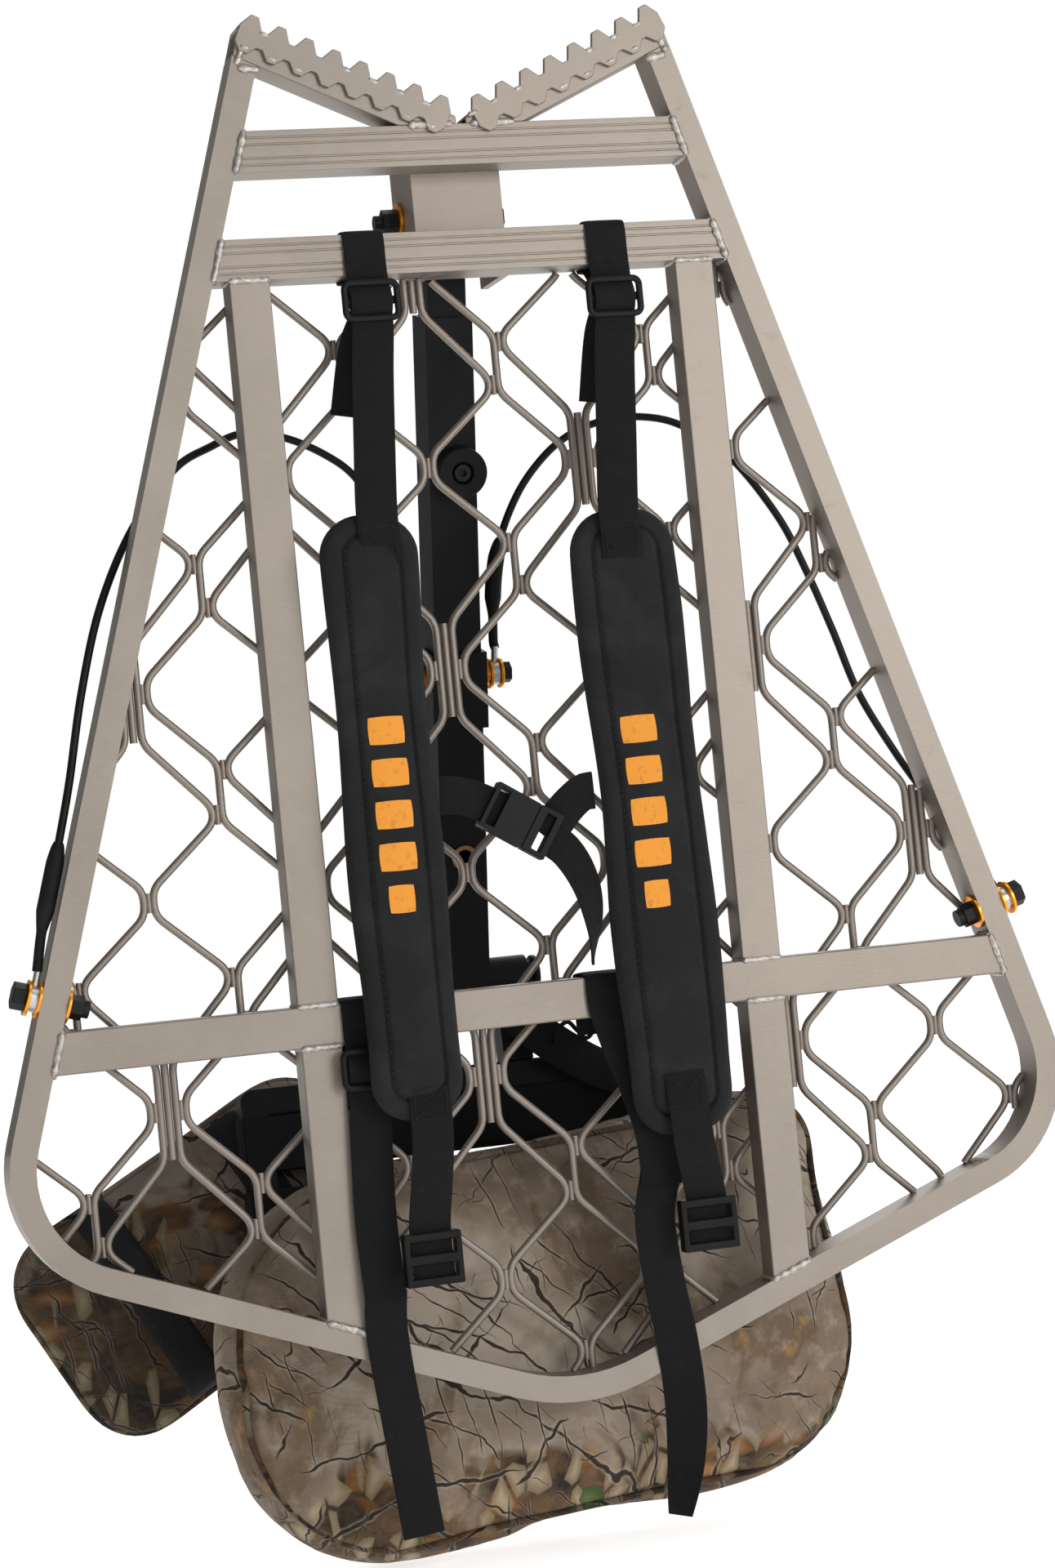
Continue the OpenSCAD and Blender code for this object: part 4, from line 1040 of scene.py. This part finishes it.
class STAND_OT_hardware(bpy.types.Operator):
    """Rounds the edges of the bolts, nuts, washers, cable eyes and post fittings."""
    bl_idname = "stand.hardware"
    bl_label = "Hardware"

    def execute(self, context):
        for node, edge, look in (
                ("rail_bolts", 0.7, "zinc"), ("rail_nuts", 0.7, "zinc"), ("pivot_bolt", 0.7, "zinc"),
                ("cable_bolt", 0.6, "zinc"), ("rail_washers", 0.35, "orange"),
                ("pivot_washers", 0.4, "orange"), ("cable_washers", 0.35, "orange"),
                ("cable_ends", 0.5, "steel"), ("bumper", 1.2, "rubber"), ("bumper_screw", 0.4, "zinc"),
                ("post_bushing", 0.4, "bronze"), ("post_spacers", 0.5, "black")):
            softened(node, edge, 2, material=material(look))
        return {"FINISHED"}


class STAND_OT_post(bpy.types.Operator):
    """Rounds the edges of the post tubes, cable bracket, seat bar and seat hubs."""
    bl_idname = "stand.post"
    bl_label = "Post"

    def execute(self, context):
        for node, edge in (("post_foot", 1.6), ("post_tube", 2.0), ("cable_bracket", 1.6), ("seat_bar", 1.2),
                           ("seat_hubs", 1.2), ("seat_frame", 2.4)):
            softened(node, edge, 3, material=material("black"))
        return {"FINISHED"}


def ring(x0, x1, z0, z1, radii, inset, straight=14, arc=9):
    """Closed outline of a rounded rectangle, moved inwards by inset. radii are for the corners
    (high x, high z), (low x, high z), (low x, low z), (high x, low z)."""
    out = []
    x0, x1, z0, z1 = x0 + inset, x1 - inset, z0 + inset, z1 - inset
    corners = ((x1, z1, -1, -1), (x0, z1, 1, -1), (x0, z0, 1, 1), (x1, z0, -1, 1))
    limit = 0.499 * min(x1 - x0, z1 - z0)
    arcs = []
    for k, ((cx, cz, sx, sz), r) in enumerate(zip(corners, radii)):
        r = min(max(r - inset, 0.6), limit)
        a = np.linspace(k * math.pi / 2, (k + 1) * math.pi / 2, arc)
        arcs.append(np.stack([cx + sx * r + r * np.cos(a), cz + sz * r + r * np.sin(a)], axis=1))
    for k in range(4):
        out.append(arcs[k])
        nxt = arcs[(k + 1) % 4][0]
        t = np.linspace(0, 1, straight + 2)[1:-1, None]
        out.append(arcs[k][-1] * (1 - t) + nxt * t)
    return np.vstack(out)


def cushion(name, outline, rows, place_points, seed, wrinkle):
    """A closed cushion from rings (inset, depth). place_points turns local points into the stand's frame."""
    rings = []
    for inset, depth in rows:
        flat = ring(*outline, inset)
        rings.append(at_depth(flat, depth))
    pts = np.array(rings)
    flat = pts.reshape(-1, 3)
    wave = noise(flat, 0.055, seed) * 0.7 + noise(flat, 0.13, seed + 1) * 0.3
    inset = np.repeat([r[0] for r in rows], pts.shape[1])
    lift = wrinkle * wave * np.clip(inset / 12, 0.15, 1.0)
    middle = np.mean([r[1] for r in rows])
    flat[:, 1] += lift * np.sign(flat[:, 1] - middle)
    pts = place_points(flat).reshape(pts.shape)
    obj = Surface().grid(pts, wrap=True, caps=True).object(name, 80)
    obj.data.transform(to_row())
    return obj


def puff(obj, swell, voxel, pressure=4.0, frames=20):
    """Swells a closed shape with a short cloth simulation, limits how far it moved, and smooths it."""
    scene = bpy.context.scene
    mod = obj.modifiers.new("cells", "REMESH")
    mod.mode, mod.voxel_size = "VOXEL", voxel
    mesh = baked(obj)
    obj.modifiers.clear()
    old = obj.data
    obj.data = mesh
    bpy.data.meshes.remove(old)
    rest = np.zeros(len(mesh.vertices) * 3)
    mesh.vertices.foreach_get("co", rest)
    rest = rest.reshape(-1, 3)
    cloth = obj.modifiers.new("stuffing", "CLOTH")
    cloth.settings.use_pressure = True
    cloth.settings.uniform_pressure_force = pressure
    cloth.settings.effector_weights.gravity = 0.0
    cloth.settings.quality = 4
    cloth.collision_settings.use_collision = False
    cloth.point_cache.frame_start, cloth.point_cache.frame_end = 1, frames
    for f in range(1, frames + 1):
        scene.frame_set(f)
    final = baked(obj)
    obj.modifiers.clear()
    scene.frame_set(1)
    now = np.zeros(len(final.vertices) * 3)
    final.vertices.foreach_get("co", now)
    move = now.reshape(-1, 3) - rest
    size = np.linalg.norm(move, axis=1, keepdims=True)
    move *= np.minimum(1.0, swell / np.maximum(size, 1e-9))
    mesh.vertices.foreach_set("co", (rest + move).ravel())
    mesh.update()
    bpy.data.meshes.remove(final)
    sub = obj.modifiers.new("smooth", "SUBSURF")
    sub.levels = sub.render_levels = 1
    done = baked(obj)
    obj.modifiers.clear()
    obj.data = done
    bpy.data.meshes.remove(mesh)
    done.polygons.foreach_set("use_smooth", [True] * len(done.polygons))
    return obj


def tree_of(obj):
    """A search tree over an object's faces."""
    mesh = obj.data
    return BVHTree.FromPolygons([v.co for v in mesh.vertices], [p.vertices[:] for p in mesh.polygons])


def settle(points, tree, out):
    """Moves row-frame points to the nearest surface point, out metres along its normal."""
    res = []
    for p in points:
        hit, normal, _, _ = tree.find_nearest(Vector(p))
        res.append(np.array(hit + normal * out))
    return np.array(res)


def smoothed(points, passes, closed=True):
    """The loop of points with small kinks averaged out."""
    p = points.copy()
    for _ in range(passes):
        if closed:
            p = (np.roll(p, 1, axis=0) + 2 * p + np.roll(p, -1, axis=0)) / 4
        else:
            p[1:-1] = (p[:-2] + 2 * p[1:-1] + p[2:]) / 4
    return p


def piping(name, loop_mm, tree, radius, look, body, sink=0.2):
    """A cord sewn round a cushion: a circle carried along a closed loop that lies on the cloth."""
    pts = settle(row(loop_mm), tree, radius * (1 - 2 * sink) * MM)
    pts = smoothed(np.asarray(pts), 3)
    pts = np.vstack([pts, pts[:2]])
    dense = even(pts, 0.003)
    surface = Surface()
    surface.sweep(dense, round_across(dense), ellipse(2 * radius * MM, 2 * radius * MM, 10), caps=True)
    obj = surface.object(name)
    return finish_piece(obj, body, material(look))


def seat_place(flat):
    """Turns the cushion slightly in the seat plane, as it sits loosely on its frame."""
    p = flat.copy()
    x, z = p[:, 0].copy(), p[:, 2] + 200.0
    c, s = math.cos(SEAT_TURN), math.sin(SEAT_TURN)
    p[:, 0], p[:, 2] = x * c - z * s, x * s + z * c - 200.0
    return on_seat(p)


class STAND_OT_seat_cushion(bpy.types.Operator):
    """Adds the seat cushion: a box cushion with crowned faces, a bulged side panel and sewn edges.

    Its rings are a rounded rectangle moved inwards by an inset; the depth rises from each seam to the
    middle of a face as 1 - (1 - inset / reach) squared. A cloth simulation then fills it."""
    bl_idname = "stand.seat_cushion"
    bl_label = "Seat cushion"

    def execute(self, context):
        back, front = -TUBE / 2 - 4.0, -TUBE / 2 - 82.0
        reach = 120.0
        insets = [2, 6, 12, 20, 32, 46, 64, 84, 104, 122, 134]
        rows = [(i, back + 1.0 * crown(i, reach)) for i in reversed(insets)]
        side = np.linspace(0, 1, 9)
        bulge = [(-0.5 - 7.0 * math.sin(math.pi * t) ** 0.8, back + (front - back) * t) for t in side]
        rows += [(max(i, -7.0) + 6.0, d) for i, d in bulge]
        rows += [(i + 4, front - 1.5 - 9.0 * crown(i, reach)) for i in insets]
        outline = (-207.5, 208.0, -359.0, -107.0, (42, 112, 96, 92))
        obj = cushion("seat_cushion_look", outline, rows, seat_place, 5, 2.2)
        obj = puff(obj, sizes().cushion_swell, 0.0055)
        finish_piece(obj, "seat", material("camo"), "seat_cushion")
        tree = tree_of(obj)
        for name, depth in (("seat_piping_front", front + 1.0), ("seat_piping_back", back + 1.5)):
            loop = seat_place(at_depth(ring(*outline, 5.0), depth))
            pipe = piping(name, loop, tree, 2.3, "camo_dark", "seat")
        return {"FINISHED"}


def back_pad_place(flat):
    """Turns the second cushion in the seat plane and moves it to its spot beside the seat."""
    c, s = math.cos(BACK_PAD_TURN), math.sin(BACK_PAD_TURN)
    p = flat.copy()
    x, z = p[:, 0].copy(), p[:, 2].copy()
    p[:, 0], p[:, 2] = x * c - z * s, x * s + z * c
    return on_seat(p + BACK_PAD_SPOT)


class STAND_OT_back_pad(bpy.types.Operator):
    """Adds the second cushion and its two straps.

    The cushion is made as the seat cushion is. A strap is a thin superellipse carried round a closed
    loop that lies on the cloth."""
    bl_idname = "stand.back_pad"
    bl_label = "Back pad"

    def execute(self, context):
        insets = [2, 6, 12, 20, 32, 46, 60, 72]
        reach = 66.0
        rows = [(i, 9.0 + 7.0 * crown(i, reach)) for i in reversed(insets)]
        rows += [(1.5 - 4.0 * math.sin(math.pi * t), 9.0 - 18.0 * t) for t in np.linspace(0, 1, 7)]
        rows += [(i, -9.0 - 7.0 * crown(i, reach)) for i in insets]
        outline = (-124, 124, -74, 74, (38, 38, 38, 38))
        obj = cushion("back_pad_look", outline, rows, back_pad_place, 11, 1.8)
        obj = puff(obj, 0.005, 0.005)
        finish_piece(obj, "seat", material("camo_dark"), "back_pad")
        tree = tree_of(obj)
        loop = back_pad_place(at_depth(ring(*outline, 1.0), 0.0))
        pipe = piping("back_pad_piping", loop, tree, 2.0, "camo_dark", "seat")
        straps = Surface()
        for x in (-52.0, 52.0):
            z = np.concatenate([np.linspace(-71, 71, 24), np.full(3, 74.5),
                                np.linspace(71, -71, 24), np.full(3, -74.5)])
            y = np.concatenate([np.full(24, -17.5), [-10, 0, 10], np.full(24, 17.5), [10, 0, -10]])
            loop = back_pad_place(np.stack([np.full(len(z), x), y, z], axis=1))
            pts = smoothed(settle(row(loop), tree, 0.0012), 2)
            pts = even(np.vstack([pts, pts[:1]]), 0.004)
            straps.sweep(pts, across_body(back_pad_place, (1, 0, 0), len(pts)),
                         ellipse(26 * MM, 1.9 * MM, 16, 5.0))
        obj = straps.object("back_pad_straps_look", 50)
        finish_piece(obj, "seat", material("webbing"), "back_pad_straps")
        return {"FINISHED"}


class STAND_OT_seat_webs(bpy.types.Operator):
    """Adds the webbing slung across the seat frame: thin superellipses carried round the two side tubes."""
    bl_idname = "stand.seat_webs"
    bl_label = "Seat webbing"

    def execute(self, context):
        webs = Surface()
        edge, half = WEB_EDGE, TUBE / 2 + 1.0
        for k, z in enumerate(WEB_Z):
            sag = 0.6 * math.sin(k * 2.1)
            turns = [(-edge, -half), (-edge / 2, -half + sag), (0, -half), (edge / 2, -half + sag),
                     (edge, -half), (edge + 1.6, -half + 3), (edge + 1.6, half - 3), (edge, half),
                     (edge / 2, half), (0, half + 0.3), (-edge / 2, half), (-edge, half),
                     (-edge - 1.6, half - 3), (-edge - 1.6, -half + 3), (-edge, -half)]
            loop = on_seat(np.array([(x, y, z) for x, y in turns]))
            path = even(rounded(loop, 2.5, 5), 4.0)
            webs.sweep(path, across_body(on_seat, (0, 0, 1), len(path)), ellipse(35.0, 1.8, 16, 5.0))
        piece(webs, "seat_webs_look", "seat", "webbing", "seat_webs", angle=50)
        return {"FINISHED"}


class STAND_OT_seat_strap(bpy.types.Operator):
    """Adds the carrying strap at the top of the seat and the thin cord knotted to it.

    The strap is a thin superellipse and the cord a circle, each carried along a smooth curve."""
    bl_idname = "stand.seat_strap"
    bl_label = "Seat strap"

    def execute(self, context):
        s = Surface()
        strap(s, [(24, 158, -8), (36, 152, -24), (62, 151.5, -44), (84, 157, -56), (100, 161, -62)],
              (0.6, 0, 0.8), sizes().webbing_width / MM, sizes().webbing_thickness / MM, roll=-18)
        piece(s, "seat_strap_look", "seat", "webbing", "seat_strap", angle=50)
        path = smooth_path([(47, 149.2, -34), (49, 147, -25), (56, 146, -20), (62, 146, -26), (68, 146, -32),
                            (74, 146, -26), (75, 147, -14), (70, 148, -4), (60, 149, 0), (48, 150, -6),
                            (39, 149, -18)], 1.5)
        cord = Surface().sweep(path, round_across(path), ellipse(3.0, 3.0, 10))
        cord = piece(cord, "seat_cord_look", "seat", "webbing", "seat_cord")
        return {"FINISHED"}


def pad_height(inset):
    """Half thickness of a shoulder pad: a rolled edge, a crowned middle and a channel 12 mm in."""
    edge = 5.6 * math.sqrt(1 - (1 - min(inset / 6.0, 1)) ** 2)
    middle = 2.3 * (1 - math.exp(-(inset / 17.0) ** 3))
    channel = 2.6 * math.exp(-((inset - 12.0) / 1.5) ** 2)
    return edge + middle - channel


class STAND_OT_shoulder_pads(bpy.types.Operator):
    """Adds the two shoulder pads.

    Each is a rounded rectangle in rings: a rolled edge, a sewn channel 12 mm in, and a crowned middle.
    The middle line waves gently in depth. A row of stitches follows the channel."""
    bl_idname = "stand.shoulder_pads"
    bl_label = "Shoulder pads"

    def execute(self, context):
        for side, width, length, x, z, turn in (("left", 58.0, 366.0, -90.0, 305.0, -0.2),
                                                ("right", 66.0, 386.0, 71.0, 298.0, 0.9)):
            half = width / 2
            r = 25.0
            turn = math.radians(turn)

            def where(flat, z=z, x=x, turn=turn, half=half):
                p = flat.copy()
                wave = 1.6 * np.sin(p[:, 2] / 62.0 + x) + 0.9 * np.sin(p[:, 2] / 23.0)
                edge = 1.3 * np.sin(p[:, 2] / 31.0 + 2 * x) * np.abs(p[:, 0] / half) ** 2
                px, pz = p[:, 0] + edge * np.sign(p[:, 0]), p[:, 2]
                c, s = math.cos(turn), math.sin(turn)
                return np.stack([x + px * c - pz * s, p[:, 1] + wave, z + px * s + pz * c], axis=1)

            mid = PAD_Y + PAD_T / 2
            front = [(i, pad_height(i)) for i in (
                0.4, 1.2, 2.4, 4, 6, 8, 9.4, 10.2, 11, 11.6, 12.2, 12.8, 13.5, 14.4, 15.6, 17.4,
                20, 23, 26, 28.5, half - 0.05)]
            rows = [(i, mid + h) for i, h in reversed(front)]
            rows += [(0.0, mid + 2.0), (-0.4, mid), (0.0, mid - 2.0)]
            rows += [(i, mid - h) for i, h in front]
            outline = (-half, half, -length, 0.0, (r, r, r, r))
            rings = []
            for inset, depth in rows:
                flat = ring(*outline, inset, straight=46, arc=10)
                rings.append(where(at_depth(flat, depth)))
            pts = np.array(rings)
            lift = noise(pts.reshape(-1, 3), 0.12, 3 + int(z)).reshape(pts.shape[:2])
            pts[..., 1] += 0.45 * lift
            obj = Surface().grid(pts, wrap=True).object("shoulder_pad_look_" + side, 80)
            obj.data.transform(to_row())
            bm = bmesh.new()
            bm.from_mesh(obj.data)
            bmesh.ops.remove_doubles(bm, verts=bm.verts, dist=0.0002)
            bmesh.ops.recalc_face_normals(bm, faces=bm.faces)
            bm.to_mesh(obj.data)
            bm.free()
            finish_piece(obj, "platform", material("pad"), "shoulder_pad_" + side)
            tree = tree_of(obj)
            # stitches in the channel
            flat = ring(*outline, 12.0, straight=60, arc=12)
            loop = where(at_depth(flat, PAD_Y + 1))
            line = even(np.vstack([row(loop), row(loop)[:1]]), 0.0011)
            line = settle(line, tree, 0.0001)
            stitches = Surface()
            sewn(stitches, line, 0.0008, 4)
            stitch = stitches.object("pad_stitches_" + side)
            finish_piece(stitch, "platform", material("thread"))
            # a plain column of printed blocks
            blocks = Surface()
            centre, aside = (-131.0, 0.0) if side == "left" else (-136.0, -5.0)
            for k in range(5):
                zc = centre - k * 25.5
                us, vs = np.linspace(-1, 1, 13), np.linspace(-1, 1, 9)
                gx, gz = np.meshgrid(us, vs, indexing="ij")
                w = 11.5 if k < 4 else 8.0
                square = np.stack([aside + gx * w * np.sqrt(1 - 0.10 * gz**2), np.full(gx.shape, PAD_Y - 6),
                                   zc + gz * 8.5 * np.sqrt(1 - 0.10 * gx**2)], axis=-1).reshape(-1, 3)
                flatp = row(where(square))
                res = []
                for p in flatp:
                    hit = tree.ray_cast(Vector(p), Vector((0, 1, 0)))
                    res.append((p[0], (hit[0].y if hit[0] else p[1]) - 0.00025, p[2]))
                blocks.grid(np.array(res).reshape(13, 9, 3))
            block = blocks.object("pad_blocks_" + side, recalc=False)
            finish_piece(block, "platform", material("print"))
        return {"FINISHED"}


def strap(surface, route, across, width, thickness, step=3.0, roll=0.0, ease=3.0):
    """Webbing: a thin superellipse carried along a smooth curve. roll turns its far end by degrees."""
    path = smooth_path(route, step)
    a = np.tile(np.asarray(across, float), (len(path), 1))
    if roll:
        t = tangents(path)
        ang = np.radians(roll) * np.linspace(0, 1, len(path)) ** ease
        a = unit(a - (a * t).sum(1, keepdims=True) * t)
        a = a * np.cos(ang)[:, None] + np.cross(t, a) * np.sin(ang)[:, None]
    surface.sweep(path, a, ellipse(width, thickness, 18, 5.0))


def harness_routes(face, off, w):
    """Route, direction across, width and end turn of each strap below the pads and between them."""
    back, top = BAR_D + DECK_T + off, BAR_H / 2 + off

    def over_bar(x):
        """Round the wide crossbar, from the back of the deck to its front face."""
        return [(x, back, -24), (x, back + 0.6, 0), (x, back - 0.5, 12), (x, 16, top + 0.6),
                (x, 4, top), (x, -off - 0.4, 11)]

    return {
        "web_lower_left": ([(-86, face + 1.5, -42), (-86, face, -60), (-86.5, face + 0.5, -76),
                            (-89, -24, -100), (-92, PAD_Y + 4, -126), (-92, PAD_Y + 4, -158)],
                           (1, 0, 0.06), w, 0),
        "web_lower_right": ([(76, face + 1.5, -50), (77, face, -70), (78, face + 0.5, -90),
                             (81, -24, -110), (84, PAD_Y + 4, -128), (84, PAD_Y + 4, -158)],
                            (1, 0, -0.06), w, 0),
        "tail_left": ([(-119, -6, -162), (-120.5, -4.5, -182), (-119.5, -4, -205), (-116, -3, -240),
                       (-112, -2, -280), (-109, -2, -312)], (1, 0, 0.02), w, 0),
        "tail_right": ([(60, -9, -112), (54, -8, -140), (57, -6, -180), (62, -4, -215), (64, -3, -256),
                        (60, -5, -290), (52, -8, -322)], (1, 0, -0.12), w, 76),
        "web_anchor_left": (over_bar(-116.5) + [
            (-116.5, -off - 0.9, -6), (-116.5, -3.6, -20), (-117.5, -5.2, -44), (-119.5, -5, -80),
            (-121, -5, -120), (-120, -6.5, -158), (-120, -8.2, -168)], (1, 0, 0), w, 0),
        "web_anchor_right": (over_bar(39) + [
            (39.6, -off - 1.2, -8), (45, -5, -32), (53, -7, -58), (59, -8.5, -84), (60, -10.5, -108),
            (59.5, -11.5, -118)], (1, 0, 0), w, 0),
        "sternum_tail": ([(4, -20.4, 101.5), (9, -21, 98), (16, -22, 91), (23, -22, 79), (28, -21, 64),
                          (30, -19, 44), (28, -15, 22)], (0.83, 0, 0.55), 22.0, -66),
        "sternum_left": ([(-60, -19, 132), (-52, -20.5, 131.5), (-42, -21, 129), (-31, -20, 124),
                          (-22, -20, 119)], (0.16, 0, 1), 23.0, 0),
        "sternum_right": ([(37.6, -19, 127), (30, -20, 126), (20, -21, 119), (12, -21, 111),
                           (3, -20, 102)], (0.35, 0, 1), 23.0, 0),
    }


class STAND_OT_webbing(bpy.types.Operator):
    """Adds the harness webbing: thin superellipses carried along smooth curves through route points."""
    bl_idname = "stand.webbing"
    bl_label = "Harness webbing"

    def execute(self, context):
        w, t = sizes().webbing_width / MM, sizes().webbing_thickness / MM
        off = t / 2 + 0.3
        zt, zb = BAR2_Z + BAR_H / 2, BAR2_Z - BAR_H / 2
        face = PAD_Y - off - 0.6
        for side, x_pad, z_pad, x_bar, x_tail in (("left", -84, 305, -70, -86), ("right", 69, 298, 86, 74)):
            s = Surface()
            to_bar = [(x_pad, face + 1.2, z_pad - 30), (x_pad, face, z_pad - 16),
                      (x_pad, face + 0.6, z_pad + 4), (x_pad * 0.65 + x_bar * 0.35, -18, z_pad + 46),
                      (x_pad * 0.3 + x_bar * 0.7, -11, zb - 62)]
            over = [(-6.2, zb - 30), (-3.6, zb - 6), (-off - 0.8, zb + 6), (-off - 0.6, zt - 4),
                    (1.5, zt + off), (12, zt + off + 0.3), (RAIL_D - 1.5, zt + off),
                    (RAIL_D + off, zt - 3), (RAIL_D + off, zb + 2)]
            under = [(RAIL_D + off, zb + 3), (RAIL_D - 3, zb - off - 0.4), (12, zb - off - 2),
                     (0.5, zb - 14), (-0.6, zb - 26)]
            strap(s, to_bar + [(x_bar, y, z) for y, z in over], (1, 0, 0), w, t)
            strap(s, [(x_bar, y, z) for y, z in under]
                  + [((x_bar + x_tail) / 2, 3, zb - 46), (x_tail, 6, zb - 86)], (1, 0, 0), w, t, roll=14)
            piece(s, "web_upper_look_" + side, "platform", "webbing", "web_upper_" + side, angle=50)
        for name, (route, across, width, roll) in harness_routes(face, off, w).items():
            s = Surface()
            strap(s, route, across, width, t, roll=roll, ease=1.4 if name == "sternum_tail" else 3.0)
            piece(s, name + "_look", "platform", "webbing", name, angle=50)
        # box stitches where the webbing is sewn to the pads
        stitches = Surface()
        y = face - t / 2
        a, b = w / 2 - 3, 9.0
        for x, z in ((-84, 288), (69, 281), (-86, -52), (76, -62)):
            for p, q in (((-a, -b), (a, -b)), ((a, -b), (a, b)), ((a, b), (-a, b)), ((-a, b), (-a, -b)),
                         ((-a, -b), (a, b)), ((-a, b), (a, -b))):
                ends = [(x + u, y - 0.1, z + v) for u, v in (p, q)]
                line = even(np.array(ends, float), 0.9)
                sewn(stitches, line, 0.8, 3)
        piece(stitches, "box_stitches", "platform", "thread", slot="webbing")
        return {"FINISHED"}


class STAND_OT_buckles(bpy.types.Operator):
    """Adds the slide adjusters, and rounds the edges of the ladder locks and the side-release buckle.

    A slide is a superellipse carried round a rounded rectangle, with a bar across it and a fold of
    webbing over the bar."""
    bl_idname = "stand.buckles"
    bl_label = "Buckles"

    def execute(self, context):
        glides, bulge = Surface(), Surface()
        w, t = sizes().webbing_width / MM, sizes().webbing_thickness / MM
        zb = BAR2_Z - BAR_H / 2
        for x, y, z, wide in ((-70, -8.0, zb - 17, 37.0), (86, -8.0, zb - 22, 37.0), (-117, -9.0, -28, 35.0)):
            flat = ring(x - wide / 2 + 2, x + wide / 2 - 2, z - 11, z + 11, (4, 4, 4, 4), 0)
            loop = np.stack([flat[:, 0], np.full(len(flat), y), flat[:, 1]], axis=1)
            loop = even(np.vstack([loop, loop[:2]]), 1.2)
            glides.sweep(loop, np.tile([0.0, 1, 0], (len(loop), 1)), ellipse(3.2, 4.0, 14, 3.0))
            bar = even(np.array([(x - wide / 2 + 3, y + 1.6, z), (x + wide / 2 - 3, y + 1.6, z)], float), 1.5)
            glides.sweep(bar, np.tile([0.0, 1, 0], (len(bar), 1)), ellipse(2.6, 5.0, 12, 3.0))
            fold = [(3.2, 13), (2.2, 9), (-0.8, 4), (-1.4, 0), (-0.8, -4), (2.2, -9), (3.2, -13)]
            strap(bulge, [(x, y + out, z + up) for out, up in fold], (1, 0, 0), w, t, 1.2)
        piece(glides, "glides_look", "platform", "buckle", "glides", angle=50)
        piece(bulge, "glide_folds", "platform", "webbing", slot="webbing", angle=50)
        for node, edge in (("ladder_locks", 1.3), ("buckle_socket", 1.4), ("buckle_plug", 1.0)):
            softened(node, edge, 3, material=material("buckle"))
        return {"FINISHED"}


class STAND_PT_panel(bpy.types.Panel):
    """Lists the steps that build the stand."""
    bl_idname = "STAND_PT_panel"
    bl_label = "Tree stand"
    bl_space_type = "VIEW_3D"
    bl_region_type = "UI"
    bl_category = "Tree stand"

    def draw(self, context):
        for group in (context.scene.stand_sizes, context.scene.stand_colours):
            for name in group.bl_rna.properties.keys():
                if name not in ("rna_type", "name"):
                    self.layout.prop(group, name)
        for step in STEPS:
            self.layout.operator(step.bl_idname)


STEPS = (STAND_OT_stage, STAND_OT_cables, STAND_OT_frame, STAND_OT_welds, STAND_OT_deck, STAND_OT_hardware,
         STAND_OT_post, STAND_OT_seat_webs, STAND_OT_seat_cushion, STAND_OT_back_pad, STAND_OT_seat_strap,
         STAND_OT_shoulder_pads, STAND_OT_webbing, STAND_OT_buckles)
CLASSES = (StandSizes, StandColours, *STEPS, STAND_PT_panel)


def register():
    for cls in CLASSES:
        bpy.utils.register_class(cls)
    bpy.types.Scene.stand_sizes = bpy.props.PointerProperty(type=StandSizes)
    bpy.types.Scene.stand_colours = bpy.props.PointerProperty(type=StandColours)


def unregister():
    del bpy.types.Scene.stand_sizes
    del bpy.types.Scene.stand_colours
    for cls in reversed(CLASSES):
        bpy.utils.unregister_class(cls)


def main():
    register()
    for step in STEPS:
        group, name = step.bl_idname.split(".")
        getattr(getattr(bpy.ops, group), name)()


if __name__ == "__main__":
    main()
